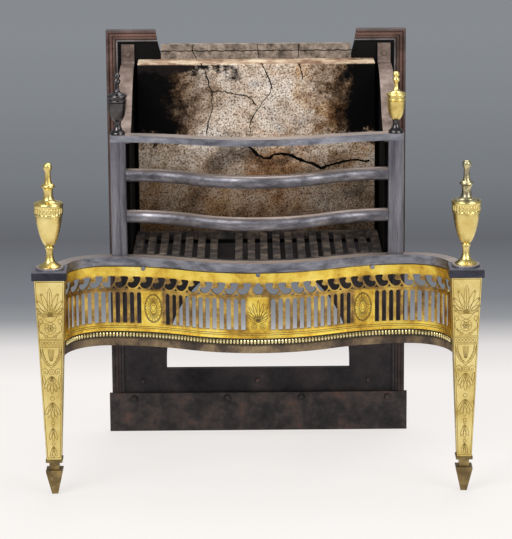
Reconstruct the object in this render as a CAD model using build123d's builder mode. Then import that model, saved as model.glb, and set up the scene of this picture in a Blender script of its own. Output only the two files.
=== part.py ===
from build123d import *
from math import atan2, cos, degrees, sin
import os

# Serpentine fire grate. Millimetres, +Z up, the front faces -Y.
# The origin is on the floor, under the middle of the whole grate.

# Overall
overall_width = 800
overall_depth = 428
plate_height = 786
running_gap = 0.3

# Leg caps, the iron blocks on top of the legs
cap_side = 62
cap_height = 15
cap_top = 416

# Legs: brass casing round an iron core, on a spade foot
casing_top_side = 53
casing_bottom_side = 26
casing_wall = 2.5
core_side = 14
foot_top = 66
collar_side = 30
collar_height = 5
neck_side = 18
neck_height = 15
spade_side = 30
spade_band = 3
toe_side = 11

# Serpentine line of the front, seen in plan
recess_inset = 128
recess_depth = 90
front_bow = 63
rail_inset = 4
run_on = 14

# Serpentine rail with its flange behind the fret
rail_height = 16
rail_depth = 22
flange_drop = 14
flange_thickness = 4

# Fret
fret_setback = 3
fret_thickness = 3
fret_height = 119
fret_leg_gap = 0.6
band_top_margin = 18
band_height = 20
scroll_pitch = 21.5
scroll_width = 13
slot_top_margin = 46
slot_height = 58
slot_width = 7
slots_per_bay = 12
panel_half = 20.5
fret_end_margin = 12
fret_screw_offset = 18
fret_screw_drop = 5
screw_head_radius = 4
screw_head_height = 2.5
screw_shank_radius = 2
screw_seat = 0.05

# Lower rail and beaded moulding
lower_rail_lap = 8
lower_rail_height = 40
lower_rail_thickness = 6
bead_top_drop = 4.5
bead_height = 12.5
bead_thickness = 5

# Uprights and bars of the basket
upright_width = 28
upright_thickness = 12
upright_inset = 8
upright_setback = 7
top_bar_underside = 625
top_bar_height = 12
top_bar_depth = 28
top_bar_bow = 50
round_bar_radius = 12
round_bar_bow = 72
upper_bar_z = 564
lower_bar_z = 488
tenon_radius = 4.5
tenon_length = 16
tenon_clearance = 0.1

# Back plate and foot plate
plate_thickness = 12
stay_border_gap = 5
plate_foot = 46
reed_width = 6
reed_step = 2
reed_count = 4
corner_width = 103
corner_lip = 6
corner_edge = 10
cut_depth = 70
arch_side = 106
arch_sill = 123
arch_spring = 139
arch_rise = 200
foot_plate_overhang = 5.5
foot_plate_height = 76
foot_plate_thickness = 8
bolt_shares = (-0.426, -0.106, 0.147, 0.443)
bolt_drop = 10
bolt_head_radius = 7
bolt_head_height = 5
bolt_shank_radius = 4
rivet_shares = (-0.396, -0.002, 0.378)
rivet_rise = 22
rivet_head_radius = 5.5
rivet_head_height = 3
rivet_shank_radius = 3.5
hole_clearance = 0.1

# Fireclay
brick_cheek_gap = 8
brick_depth = 60
brick_drop = 56
tile_drop = 28
tile_gap = 0.4

# Cheeks, stays, bearers, shelf and grid
cheek_thickness = 6
cheek_rail_gap = 3
stay_thickness = 5
stay_rear_width = 24
stay_tab_drop = 27
stay_tab_height = 32
stay_bend_radius = 10
stay_flat_length = 24
stay_rivet_drop = 19
bearer_reach = 11
bearer_width = 30
bearer_thickness = 7
shelf_lap = 13
grid_side_gap = 4
grid_gap = 5
grid_brick_gap = 17
grid_thickness = 14
grid_rim = 12
grid_slot_pitch = 23
grid_slot_width = 10
grid_slots_each_side = 9
lost_bar = -2.5

# Large urns: radii, and heights above the washer
urn_washer_radius = 25.5
urn_washer_height = 4.5
urn_foot_radius = 17.2
urn_neck_radius = 6.2
urn_ring_radius = 8.1
urn_body_radius = 24
urn_band_radius = 25
urn_rim_radius = 26.2
urn_body_height = 115
cover_height = 72
cover_ring_radius = 12.3
cover_ball_radius = 7.8
stud_radius = 2.5
stud_clearance = 0.2
stud_in_cap = 10

# Small urns
small_foot_radius = 13.4
small_neck_radius = 5.8
small_foot_height = 24
small_body_radius = 16.6
small_body_height = 48
small_cover_height = 39
small_bulb_radius = 7
small_knob_radius = 6.5
small_stud_radius = 2

# Places worked out from the sizes above
leg_x = overall_width / 2 - cap_side / 2
leg_y = -overall_depth / 2 + cap_side / 2
cap_bottom = cap_top - cap_height
plate_rear_y = overall_depth / 2
plate_front_y = plate_rear_y - plate_thickness
recess_x = overall_width / 2 - recess_inset
recess_y = leg_y + recess_depth
middle_y = recess_y - front_bow
rail_end_x = leg_x - cap_side / 2 + rail_inset
rail_end_y = leg_y + cap_side / 2
rail_bottom = cap_top - rail_height
upright_outer_x = recess_x - upright_inset
upright_y = recess_y + upright_setback + upright_thickness / 2
upright_x = upright_outer_x - upright_width / 2
top_bar_top = top_bar_underside + top_bar_height
top_bar_end_front_y = upright_y - upright_thickness / 2
top_bar_end_y = top_bar_end_front_y + top_bar_depth / 2
cheek_inner_x = upright_outer_x - upright_width - cheek_thickness
brick_half_width = cheek_inner_x - brick_cheek_gap
brick_top = plate_height - brick_drop
tile_top = plate_height - tile_drop
cut_floor = plate_height - cut_depth
stay_tab_top = plate_height - stay_tab_drop
stay_bend_z = stay_tab_top - stay_tab_height
stay_flat_end_y = upright_y + upright_thickness / 2 + stay_flat_length
border_width = reed_width * reed_count
plate_width = 2 * (cheek_inner_x + stay_rear_width + stay_border_gap + border_width)
foot_plate_width = plate_width + 2 * foot_plate_overhang
bolt_places = [share * plate_width for share in bolt_shares]
rivet_places = [share * plate_width for share in rivet_shares]
corner_inner_x = plate_width / 2 - corner_width
corner_lip_x = corner_inner_x + corner_lip
corner_edge_x = corner_inner_x + corner_edge
arch_half_width = plate_width / 2 - arch_side
bearer_inner_x = cheek_inner_x - bearer_reach
grid_half_width = cheek_inner_x - grid_side_gap
grid_rear_y = plate_front_y - brick_depth - grid_brick_gap
shelf_front_y = grid_rear_y - shelf_lap
bearer_top = rail_bottom
bearer_front_y = recess_y + fret_setback + fret_thickness + flange_thickness + 1
fret_bottom = rail_bottom - fret_height
lower_rail_top = fret_bottom + lower_rail_lap
lower_rail_bottom = lower_rail_top - lower_rail_height
sides = (("left", -1), ("right", 1))

os.makedirs("parts", exist_ok=True)


def casing_side(z):
    """Outer side of the square tapering leg at a height."""
    share = (z - foot_top) / (cap_bottom - foot_top)
    return casing_bottom_side + share * (casing_top_side - casing_bottom_side)


def bowed_ends(half_span, bow, front_y, setback):
    """Points of a bow that runs level at its ends: turning points and end points."""
    turn = 2 * atan2(bow, half_span)
    bend = (half_span / 2 - setback * sin(turn), front_y + bow / 2 + setback * cos(turn))
    end = (half_span, front_y + bow + setback)
    return turn, bend, end


def bowed_line(half_span, bow, front_y, setback):
    """A bow of three tangent arcs, set back from its front line."""
    turn, bend, end = bowed_ends(half_span, bow, front_y, setback)
    ThreePointArc((-bend[0], bend[1]), (0, front_y + setback), bend)
    for side in (-1, 1):
        start = (side * bend[0], bend[1])
        finish = (side * end[0], end[1])
        TangentArc(start, finish, tangent=(side * cos(turn), sin(turn)))


def serpentine_end(setback):
    """Where the serpentine line stops, past the leg's rear face, and its heading."""
    across = rail_end_x - recess_x
    forward = recess_y - rail_end_y
    turn = 2 * atan2(forward, across)
    heading = (cos(turn), -sin(turn))
    arc_end = (rail_end_x + setback * sin(turn), rail_end_y + setback * cos(turn))
    last = (arc_end[0] + run_on * heading[0], arc_end[1] + run_on * heading[1])
    return arc_end, last


def serpentine_line(setback):
    """The bow, the two sweeps forward to the legs and a short straight run."""
    bowed_line(recess_x, front_bow, middle_y, setback)
    arc_end, last = serpentine_end(setback)
    for side in (-1, 1):
        start = (side * recess_x, recess_y + setback)
        finish = (side * arc_end[0], arc_end[1])
        TangentArc(start, finish, tangent=(side, 0))
        Line(finish, (side * last[0], last[1]))


def serpentine_strip(front, back):
    """Plan of a strip between two setbacks, cut off at the leg caps' rear faces or past them."""
    with BuildSketch() as strip:
        with BuildLine():
            serpentine_line(front)
            serpentine_line(back)
            front_end = serpentine_end(front)[1]
            back_end = serpentine_end(back)[1]
            for side in (-1, 1):
                Line((side * front_end[0], front_end[1]), (side * back_end[0], back_end[1]))
        make_face()
    return strip.sketch


with BuildLine() as fret_line:
    serpentine_line(fret_setback + fret_thickness / 2)
fret_path = fret_line.wires()[0]
bay_length = (fret_path.length / 2 - run_on - fret_end_margin - 3 * panel_half) / 2
side_panel_place = 2 * panel_half + bay_length
fret_screw_place = side_panel_place + fret_screw_offset


def fret_place(place, z):
    """Location on the fret, a distance along it from the middle, facing its front."""
    along = fret_path.length / 2 + place
    point = fret_path.position_at(along, PositionMode.LENGTH)
    heading = fret_path.tangent_at(along, PositionMode.LENGTH)
    if heading.X < 0:
        heading = -heading
    return Location((point.X, point.Y, z), (0, 0, degrees(atan2(heading.Y, heading.X))))


# Room kept clear of the strips' ends: the leg caps, and the tapering casings
with BuildPart() as cap_room:
    with BuildSketch(Plane.XY.offset(rail_bottom - flange_drop)):
        with Locations((-leg_x, leg_y), (leg_x, leg_y)):
            Rectangle(cap_side, cap_side)
    extrude(amount=rail_height + flange_drop)

with BuildPart() as leg_room:
    for name, side in sides:
        for z in (lower_rail_bottom, cap_bottom):
            with BuildSketch(Plane((side * leg_x, leg_y, z))):
                room = casing_side(z) + 2 * fret_leg_gap
                Rectangle(room, room)
        loft()


# Back plate: cast border of stepped reeds on the sides and the two top corners
with BuildPart() as back_plate:
    with BuildSketch(Plane.XZ.offset(-plate_rear_y)):
        with Locations((0, (plate_foot + plate_height) / 2)):
            Rectangle(plate_width, plate_height - plate_foot)
        with BuildLine():
            Polyline(
                (-corner_inner_x, cut_floor),
                (-corner_inner_x, plate_height - 2 * border_width),
                (-corner_lip_x, plate_height - border_width),
                (-corner_edge_x, plate_height),
                (corner_edge_x, plate_height),
                (corner_lip_x, plate_height - border_width),
                (corner_inner_x, plate_height - 2 * border_width),
                (corner_inner_x, cut_floor),
                close=True,
            )
        make_face(mode=Mode.SUBTRACT)
        with BuildLine():
            EllipticalCenterArc((0, arch_spring), arch_half_width, arch_rise, 0, arc_size=180)
            Polyline(
                (-arch_half_width, arch_spring),
                (-arch_half_width, arch_sill),
                (arch_half_width, arch_sill),
                (arch_half_width, arch_spring),
            )
        make_face(mode=Mode.SUBTRACT)
    extrude(amount=plate_thickness)
    for reed in range(reed_count):
        inner = reed_width * (reed + 1)
        corner_share = (border_width - inner) / border_width
        cut_x = corner_lip_x + corner_share * (corner_edge_x - corner_lip_x)
        for name, side in sides:
            with BuildSketch(Plane.XZ.offset(-plate_front_y)):
                with BuildLine():
                    Polyline(
                        (side * plate_width / 2, foot_plate_height),
                        (side * plate_width / 2, plate_height),
                        (side * corner_edge_x, plate_height),
                        (side * cut_x, plate_height - inner),
                        (side * (plate_width / 2 - inner), plate_height - inner),
                        (side * (plate_width / 2 - inner), foot_plate_height),
                        close=True,
                    )
                make_face()
            extrude(amount=reed_step * (reed_count - reed))
    with Locations(*[(x, plate_front_y, foot_plate_height - bolt_drop) for x in bolt_places]):
        Cylinder(
            bolt_shank_radius + hole_clearance,
            plate_thickness * 2,
            rotation=(90, 0, 0),
            mode=Mode.SUBTRACT,
        )
    rivet_points = [(x, plate_front_y, foot_plate_height + rivet_rise) for x in rivet_places]
    stay_rivet_points = [
        (side * (cheek_inner_x + stay_rear_width / 2), plate_front_y, stay_tab_top - stay_rivet_drop)
        for name, side in sides
    ]
    with Locations(*rivet_points, *stay_rivet_points):
        Cylinder(
            rivet_shank_radius + hole_clearance,
            plate_thickness * 2,
            rotation=(90, 0, 0),
            mode=Mode.SUBTRACT,
        )
back_plate.part.label = "back_plate"
export_step(back_plate.part, "parts/back_plate.step")

# Foot plate: a strip bolted over the plate's lower edge, standing on the floor
with BuildPart() as foot_plate:
    with BuildSketch(Plane.XZ.offset(-plate_front_y)):
        with Locations((0, foot_plate_height / 2)):
            Rectangle(foot_plate_width, foot_plate_height)
    extrude(amount=foot_plate_thickness)
    with Locations(*[(x, plate_front_y, foot_plate_height - bolt_drop) for x in bolt_places]):
        Cylinder(
            bolt_shank_radius + hole_clearance,
            foot_plate_thickness * 2,
            rotation=(90, 0, 0),
            mode=Mode.SUBTRACT,
        )
foot_plate.part.label = "foot_plate"
export_step(foot_plate.part, "parts/foot_plate.step")

# Bolts of the foot plate: low round heads, shanks flush with the plate's rear
with BuildPart() as foot_plate_bolts:
    head_y = plate_front_y - foot_plate_thickness
    for x in bolt_places:
        with BuildSketch(Plane((x, plate_rear_y, foot_plate_height - bolt_drop), z_dir=(0, -1, 0))):
            Circle(bolt_shank_radius)
        extrude(amount=plate_rear_y - head_y)
        with BuildSketch(Plane((x, head_y, foot_plate_height - bolt_drop), z_dir=(0, -1, 0))):
            Circle(bolt_head_radius)
        extrude(amount=bolt_head_height, taper=25)
foot_plate_bolts.part.label = "foot_plate_bolts"
export_step(foot_plate_bolts.part, "parts/foot_plate_bolts.step")

# Rivets in the band of the plate between the foot plate and the arch
with BuildPart() as plate_rivets:
    for x in rivet_places:
        rivet_z = foot_plate_height + rivet_rise
        with BuildSketch(Plane((x, plate_rear_y, rivet_z), z_dir=(0, -1, 0))):
            Circle(rivet_shank_radius)
        extrude(amount=plate_thickness)
        with BuildSketch(Plane((x, plate_front_y, rivet_z), z_dir=(0, -1, 0))):
            Circle(rivet_head_radius)
        extrude(amount=rivet_head_height, taper=30)
plate_rivets.part.label = "plate_rivets"
export_step(plate_rivets.part, "parts/plate_rivets.step")

# Fireback: one thick slab of fireclay on the rear shelf
with BuildPart() as fireback:
    with BuildSketch(Plane.XY.offset(bearer_top)):
        with Locations((0, plate_front_y - brick_depth / 2)):
            Rectangle(2 * brick_half_width, brick_depth)
    extrude(amount=brick_top - bearer_top)
    top_edges = fireback.faces().sort_by(Axis.Z)[-1].edges()
    fillet(top_edges.sort_by(Axis.Y)[0], 5)
fireback.part.label = "fireback"
export_step(fireback.part, "parts/fireback.step")

# Top tile: fireclay that fills the cut-away of the plate behind the slab
with BuildPart() as top_tile:
    with BuildSketch(Plane.XZ.offset(-plate_rear_y)):
        with Locations((0, (cut_floor + tile_top) / 2)):
            Rectangle(2 * (corner_inner_x - tile_gap), tile_top - cut_floor)
    extrude(amount=plate_thickness)
top_tile.part.label = "top_tile"
export_step(top_tile.part, "parts/top_tile.step")


bend_y = plate_front_y - stay_bend_radius
bend_z = stay_bend_z - stay_bend_radius
flat_z = top_bar_underside - stay_thickness
cheek_front_y = recess_y + rail_depth + cheek_rail_gap
upright_rear_y = upright_y + upright_thickness / 2


def stay_fall():
    """Side view of the stay's underside, falling in an S from its bend to the top bar."""
    half_y = (bend_y - stay_flat_end_y) / 2
    half_z = (bend_z - flat_z) / 2
    turn = 2 * atan2(half_z, half_y)
    middle = (bend_y - half_y, bend_z - half_z)
    TangentArc((bend_y, bend_z), middle, tangent=(-1, 0))
    TangentArc(middle, (stay_flat_end_y, flat_z), tangent=(-cos(turn), -sin(turn)))


for name, side in sides:
    # Cheek plate: thin sooty side of the basket, its top edge under the stay
    with BuildPart() as cheek:
        with BuildSketch(Plane.YZ.offset(side * cheek_inner_x)):
            with BuildLine():
                stay_fall()
                Polyline(
                    (stay_flat_end_y, flat_z),
                    (cheek_front_y, flat_z),
                    (cheek_front_y, bearer_top),
                    (plate_front_y, bearer_top),
                    (plate_front_y, bend_z),
                    (bend_y, bend_z),
                )
            make_face()
        extrude(amount=side * cheek_thickness)
    cheek.part.label = f"{name}_cheek"
    export_step(cheek.part, f"parts/{name}_cheek.step")

    # Side stay: flat bar from a tab on the back plate down to the top bar's end
    with BuildPart() as stay:
        with BuildSketch(Plane.YZ.offset(side * cheek_inner_x)):
            with BuildLine():
                Line((plate_front_y, stay_tab_top), (plate_front_y, stay_bend_z))
                TangentArc((plate_front_y, stay_bend_z), (bend_y, bend_z), tangent=(0, -1))
                stay_fall()
                Line((stay_flat_end_y, flat_z), (upright_rear_y, flat_z))
                offset(amount=stay_thickness, side=Side.RIGHT)
            make_face()
        extrude(amount=side * (upright_outer_x - cheek_inner_x))
        with BuildSketch(Plane.XY.offset(top_bar_underside - 2 * stay_thickness)):
            with BuildLine():
                Polyline(
                    (side * upright_outer_x, upright_rear_y),
                    (side * overall_width, upright_rear_y),
                    (side * overall_width, plate_front_y),
                    (side * (cheek_inner_x + stay_rear_width), plate_front_y),
                    close=True,
                )
            make_face()
        extrude(amount=plate_height, mode=Mode.SUBTRACT)
        with Locations((side * (cheek_inner_x + stay_rear_width / 2), plate_front_y, stay_tab_top - stay_rivet_drop)):
            Cylinder(
                rivet_shank_radius + hole_clearance,
                4 * stay_thickness,
                rotation=(90, 0, 0),
                mode=Mode.SUBTRACT,
            )
    stay.part.label = f"{name}_stay"
    export_step(stay.part, f"parts/{name}_stay.step")

    # Upright: flat bar on the rail, holed for the round bars' tenons
    with BuildPart() as upright:
        with BuildSketch(Plane.XY.offset(cap_top)):
            with Locations((side * upright_x, upright_y)):
                Rectangle(upright_width, upright_thickness)
        extrude(amount=top_bar_underside - cap_top)
        chamfer(upright.edges().filter_by(Axis.Z), 0.8)
        inner_x = side * (upright_outer_x - upright_width)
        for bar_z in (upper_bar_z, lower_bar_z):
            with BuildSketch(Plane((inner_x, upright_y, bar_z), z_dir=(side, 0, 0))):
                Circle(tenon_radius + tenon_clearance)
            extrude(amount=tenon_length, mode=Mode.SUBTRACT)
    upright.part.label = f"{name}_upright"
    export_step(upright.part, f"parts/{name}_upright.step")

    # Bearer: flat bar lapped under the rail, carrying the cheek and the grid's end
    with BuildPart() as bearer:
        with BuildSketch(Plane.XY.offset(bearer_top - bearer_thickness)):
            with Locations((side * (bearer_inner_x + bearer_width / 2), (bearer_front_y + plate_front_y) / 2)):
                Rectangle(bearer_width, plate_front_y - bearer_front_y)
        extrude(amount=bearer_thickness)
    bearer.part.label = f"{name}_bearer"
    export_step(bearer.part, f"parts/{name}_bearer.step")

    # Leg cap: iron block on the leg, holed for the urn's stud
    with BuildPart() as leg_cap:
        with BuildSketch(Plane.XY.offset(cap_bottom)):
            with Locations((side * leg_x, leg_y)):
                Rectangle(cap_side, cap_side)
        extrude(amount=cap_height)
        chamfer(leg_cap.faces().sort_by(Axis.Z)[-1].edges(), 1)
        with Locations((side * leg_x, leg_y, cap_top - stud_in_cap / 2)):
            Cylinder(stud_radius + stud_clearance, stud_in_cap, mode=Mode.SUBTRACT)
    leg_cap.part.label = f"{name}_leg_cap"
    export_step(leg_cap.part, f"parts/{name}_leg_cap.step")

    # Leg casing: tapering square brass box, open at both ends
    with BuildPart() as leg_casing:
        for wall, mode in ((0, Mode.ADD), (casing_wall, Mode.SUBTRACT)):
            with BuildSketch(Plane((side * leg_x, leg_y, foot_top))):
                Rectangle(casing_bottom_side - 2 * wall, casing_bottom_side - 2 * wall)
            with BuildSketch(Plane((side * leg_x, leg_y, cap_bottom))):
                Rectangle(casing_top_side - 2 * wall, casing_top_side - 2 * wall)
            loft(mode=mode)
    leg_casing.part.label = f"{name}_leg_casing"
    export_step(leg_casing.part, f"parts/{name}_leg_casing.step")

    # Leg core: the bar inside the casing that carries the load
    with BuildPart() as leg_core:
        with BuildSketch(Plane((side * leg_x, leg_y, foot_top))):
            Rectangle(core_side, core_side)
        extrude(amount=cap_bottom - foot_top)
    leg_core.part.label = f"{name}_leg_core"
    export_step(leg_core.part, f"parts/{name}_leg_core.step")

    # Spade foot: collar, neck and tapering spade in one casting
    with BuildPart() as foot:
        neck_top = foot_top - collar_height
        spade_top = neck_top - neck_height
        with BuildSketch(Plane((side * leg_x, leg_y, neck_top))):
            Rectangle(collar_side, collar_side)
        extrude(amount=collar_height)
        with BuildSketch(Plane((side * leg_x, leg_y, spade_top))):
            Rectangle(neck_side, neck_side)
        extrude(amount=neck_height)
        with BuildSketch(Plane((side * leg_x, leg_y, spade_top - spade_band))):
            Rectangle(spade_side, spade_side)
        extrude(amount=spade_band)
        with BuildSketch(Plane((side * leg_x, leg_y, 0))):
            Rectangle(toe_side, toe_side)
        with BuildSketch(Plane((side * leg_x, leg_y, spade_top - spade_band))):
            Rectangle(spade_side, spade_side)
        loft()
    foot.part.label = f"{name}_foot"
    export_step(foot.part, f"parts/{name}_foot.step")

    # Large urn, on a washer on the leg cap, held by a stud through its middle
    washer_top = cap_top + urn_washer_height
    with BuildPart() as urn_washer:
        with BuildSketch(Plane((side * leg_x, leg_y, cap_top))):
            Circle(urn_washer_radius)
            Circle(stud_radius + stud_clearance, mode=Mode.SUBTRACT)
        extrude(amount=urn_washer_height)
        chamfer(urn_washer.edges().filter_by(GeomType.CIRCLE).group_by(Axis.Z)[-1].sort_by(SortBy.RADIUS)[-1], 1.2)
    urn_washer.part.label = f"{name}_urn_washer"
    export_step(urn_washer.part, f"parts/{name}_urn_washer.step")

    bore = stud_radius + stud_clearance
    with BuildPart() as urn_body:
        with BuildSketch(Plane((side * leg_x, leg_y, washer_top), x_dir=(1, 0, 0), z_dir=(0, -1, 0))):
            with BuildLine():
                Polyline((bore, 0), (urn_foot_radius, 0), (urn_foot_radius, 0.026 * urn_body_height))
                Spline(
                    (urn_foot_radius, 0.026 * urn_body_height),
                    (1.5 * urn_neck_radius, 0.07 * urn_body_height),
                    (urn_neck_radius, 0.175 * urn_body_height),
                    (urn_neck_radius, 0.27 * urn_body_height),
                    tangents=((-1, 0.3), (0, 1)),
                )
                Polyline(
                    (urn_neck_radius, 0.27 * urn_body_height),
                    (urn_ring_radius, 0.287 * urn_body_height),
                    (urn_ring_radius, 0.313 * urn_body_height),
                    (urn_neck_radius, 0.322 * urn_body_height),
                )
                Spline(
                    (urn_neck_radius, 0.322 * urn_body_height),
                    (0.48 * urn_body_radius, 0.383 * urn_body_height),
                    (0.78 * urn_body_radius, 0.557 * urn_body_height),
                    (urn_body_radius, 0.817 * urn_body_height),
                    tangents=((1, 0.5), (0.05, 1)),
                )
                Polyline(
                    (urn_body_radius, 0.817 * urn_body_height),
                    (urn_band_radius, 0.826 * urn_body_height),
                    (urn_band_radius, 0.93 * urn_body_height),
                    (urn_rim_radius, 0.957 * urn_body_height),
                    (urn_rim_radius, urn_body_height),
                    (bore, urn_body_height),
                    (bore, 0),
                )
            make_face()
        revolve(axis=Axis((side * leg_x, leg_y, 0), (0, 0, 1)))
    urn_body.part.label = f"{name}_urn_body"
    export_step(urn_body.part, f"parts/{name}_urn_body.step")

    cover_bottom = washer_top + urn_body_height
    ball_z = cover_height - cover_ball_radius
    with BuildPart() as urn_cover:
        with BuildSketch(Plane((side * leg_x, leg_y, cover_bottom), x_dir=(1, 0, 0), z_dir=(0, -1, 0))):
            with BuildLine():
                Polyline((bore, 0), (urn_body_radius, 0), (urn_body_radius, 1.5))
                Spline(
                    (urn_body_radius, 1.5),
                    (10.6, 7),
                    (7.6, 19),
                    (cover_ring_radius - 2, 28),
                    tangents=((-1, 0.4), (0.6, 1)),
                )
                Polyline(
                    (cover_ring_radius - 2, 28),
                    (cover_ring_radius, 29),
                    (cover_ring_radius, 32),
                    (6.8, 35),
                )
                Line((6.8, 35), (5.2, ball_z - cover_ball_radius + 2))
                Line((5.2, ball_z - cover_ball_radius + 2), (bore, ball_z - cover_ball_radius + 2))
                Line((bore, ball_z - cover_ball_radius + 2), (bore, 0))
            make_face()
        revolve(axis=Axis((side * leg_x, leg_y, 0), (0, 0, 1)))
        with Locations((side * leg_x, leg_y, cover_bottom + ball_z)):
            Sphere(cover_ball_radius)
        with Locations((side * leg_x, leg_y, cover_bottom + ball_z / 2)):
            Cylinder(bore, ball_z, mode=Mode.SUBTRACT)
    urn_cover.part.label = f"{name}_urn_cover"
    export_step(urn_cover.part, f"parts/{name}_urn_cover.step")

    with BuildPart() as urn_stud:
        stud_bottom = cap_top - stud_in_cap
        with BuildSketch(Plane((side * leg_x, leg_y, stud_bottom))):
            Circle(stud_radius)
        extrude(amount=cover_bottom + ball_z - stud_bottom)
    urn_stud.part.label = f"{name}_urn_stud"
    export_step(urn_stud.part, f"parts/{name}_urn_stud.step")

    # Small urn on the end of the top bar
    small_bore = small_stud_radius + stud_clearance
    small_plane = Plane((side * upright_x, top_bar_end_y, top_bar_top), x_dir=(1, 0, 0), z_dir=(0, -1, 0))
    small_axis = Axis((side * upright_x, top_bar_end_y, 0), (0, 0, 1))
    with BuildPart() as small_urn_foot:
        with BuildSketch(small_plane):
            with BuildLine():
                Polyline((small_bore, 0), (small_foot_radius, 0), (small_foot_radius, 4))
                Spline(
                    (small_foot_radius, 4),
                    (small_neck_radius + 3, 9),
                    (small_neck_radius, 17),
                    (small_neck_radius + 0.8, small_foot_height),
                    tangents=((-1, 0.4), (0, 1)),
                )
                Polyline(
                    (small_neck_radius + 0.8, small_foot_height),
                    (small_bore, small_foot_height),
                    (small_bore, 0),
                )
            make_face()
        revolve(axis=small_axis)
    small_urn_foot.part.label = f"{name}_small_urn_foot"
    export_step(small_urn_foot.part, f"parts/{name}_small_urn_foot.step")

    with BuildPart() as small_urn_body:
        rim_top = small_foot_height + small_body_height
        with BuildSketch(small_plane):
            with BuildLine():
                Line((small_bore, small_foot_height), (small_neck_radius + 0.8, small_foot_height))
                Spline(
                    (small_neck_radius + 0.8, small_foot_height),
                    (0.78 * small_body_radius, small_foot_height + 10),
                    (small_body_radius, rim_top - 12),
                    tangents=((1, 0.6), (0.1, 1)),
                )
                Polyline(
                    (small_body_radius, rim_top - 12),
                    (small_body_radius + 0.6, rim_top - 11),
                    (small_body_radius + 0.6, rim_top),
                    (small_bore, rim_top),
                    (small_bore, small_foot_height),
                )
            make_face()
        revolve(axis=small_axis)
    small_urn_body.part.label = f"{name}_small_urn_body"
    export_step(small_urn_body.part, f"parts/{name}_small_urn_body.step")

    with BuildPart() as small_urn_cover:
        knob_z = rim_top + small_cover_height - small_knob_radius
        with BuildSketch(small_plane):
            with BuildLine():
                Polyline((small_bore, rim_top), (small_body_radius - 2, rim_top), (small_body_radius - 2, rim_top + 1))
                Spline(
                    (small_body_radius - 2, rim_top + 1),
                    (7, rim_top + 5),
                    (3.6, rim_top + 12),
                    (3.4, rim_top + 20),
                    tangents=((-1, 0.4), (0, 1)),
                )
                Spline(
                    (3.4, rim_top + 20),
                    (small_bulb_radius, rim_top + 24),
                    (3.6, rim_top + 29),
                )
                Polyline(
                    (3.6, rim_top + 29),
                    (small_bore, rim_top + 29),
                    (small_bore, rim_top),
                )
            make_face()
        revolve(axis=small_axis)
        with Locations((side * upright_x, top_bar_end_y, top_bar_top + knob_z)):
            Sphere(small_knob_radius)
        with Locations((side * upright_x, top_bar_end_y, top_bar_top + knob_z / 2)):
            Cylinder(small_bore, knob_z, mode=Mode.SUBTRACT)
    small_urn_cover.part.label = f"{name}_small_urn_cover"
    export_step(small_urn_cover.part, f"parts/{name}_small_urn_cover.step")

    with BuildPart() as small_urn_stud:
        with BuildSketch(Plane((side * upright_x, top_bar_end_y, top_bar_underside))):
            Circle(small_stud_radius)
        extrude(amount=top_bar_height + knob_z)
    small_urn_stud.part.label = f"{name}_small_urn_stud"
    export_step(small_urn_stud.part, f"parts/{name}_small_urn_stud.step")

# Rivets through the stays' tabs and the back plate
with BuildPart() as stay_rivets:
    for name, side in sides:
        rivet_x = side * (cheek_inner_x + stay_rear_width / 2)
        rivet_z = stay_tab_top - stay_rivet_drop
        with BuildSketch(Plane((rivet_x, plate_rear_y, rivet_z), z_dir=(0, -1, 0))):
            Circle(rivet_shank_radius)
        extrude(amount=plate_thickness + stay_thickness)
        with BuildSketch(Plane((rivet_x, plate_front_y - stay_thickness, rivet_z), z_dir=(0, -1, 0))):
            Circle(rivet_head_radius)
        extrude(amount=rivet_head_height, taper=30)
stay_rivets.part.label = "stay_rivets"
export_step(stay_rivets.part, "parts/stay_rivets.step")

# Top bar: flat bar laid flat, bowed, holed for the small urns' studs
with BuildPart() as top_bar:
    top_bar_front_y = top_bar_end_front_y - top_bar_bow
    with BuildSketch(Plane.XY.offset(top_bar_underside)):
        with BuildLine():
            bowed_line(upright_outer_x, top_bar_bow, top_bar_front_y, 0)
            bowed_line(upright_outer_x, top_bar_bow, top_bar_front_y, top_bar_depth)
            for side in (-1, 1):
                x = side * upright_outer_x
                Line((x, top_bar_end_front_y), (x, top_bar_end_front_y + top_bar_depth))
        make_face()
    extrude(amount=top_bar_height)
    with Locations(*[(side * upright_x, top_bar_end_y, top_bar_underside) for name, side in sides]):
        Cylinder(small_stud_radius + stud_clearance, 3 * top_bar_height, mode=Mode.SUBTRACT)
top_bar.part.label = "top_bar"
export_step(top_bar.part, "parts/top_bar.step")

# Round bars: bowed, with a tenon in each upright
bar_end_x = upright_outer_x - upright_width
with BuildLine() as bar_line:
    bowed_line(bar_end_x, round_bar_bow, upright_y - round_bar_bow, 0)
for name, bar_z in (("upper", upper_bar_z), ("lower", lower_bar_z)):
    with BuildPart() as round_bar:
        with BuildSketch(Plane((-bar_end_x, upright_y, bar_z), z_dir=(1, 0, 0))):
            Circle(round_bar_radius)
        sweep(path=bar_line.wires()[0].moved(Location((0, 0, bar_z))))
        for side in (-1, 1):
            with BuildSketch(Plane((side * bar_end_x, upright_y, bar_z), z_dir=(side, 0, 0))):
                Circle(tenon_radius)
            extrude(amount=tenon_length)
    round_bar.part.label = f"{name}_round_bar"
    export_step(round_bar.part, f"parts/{name}_round_bar.step")

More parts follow.
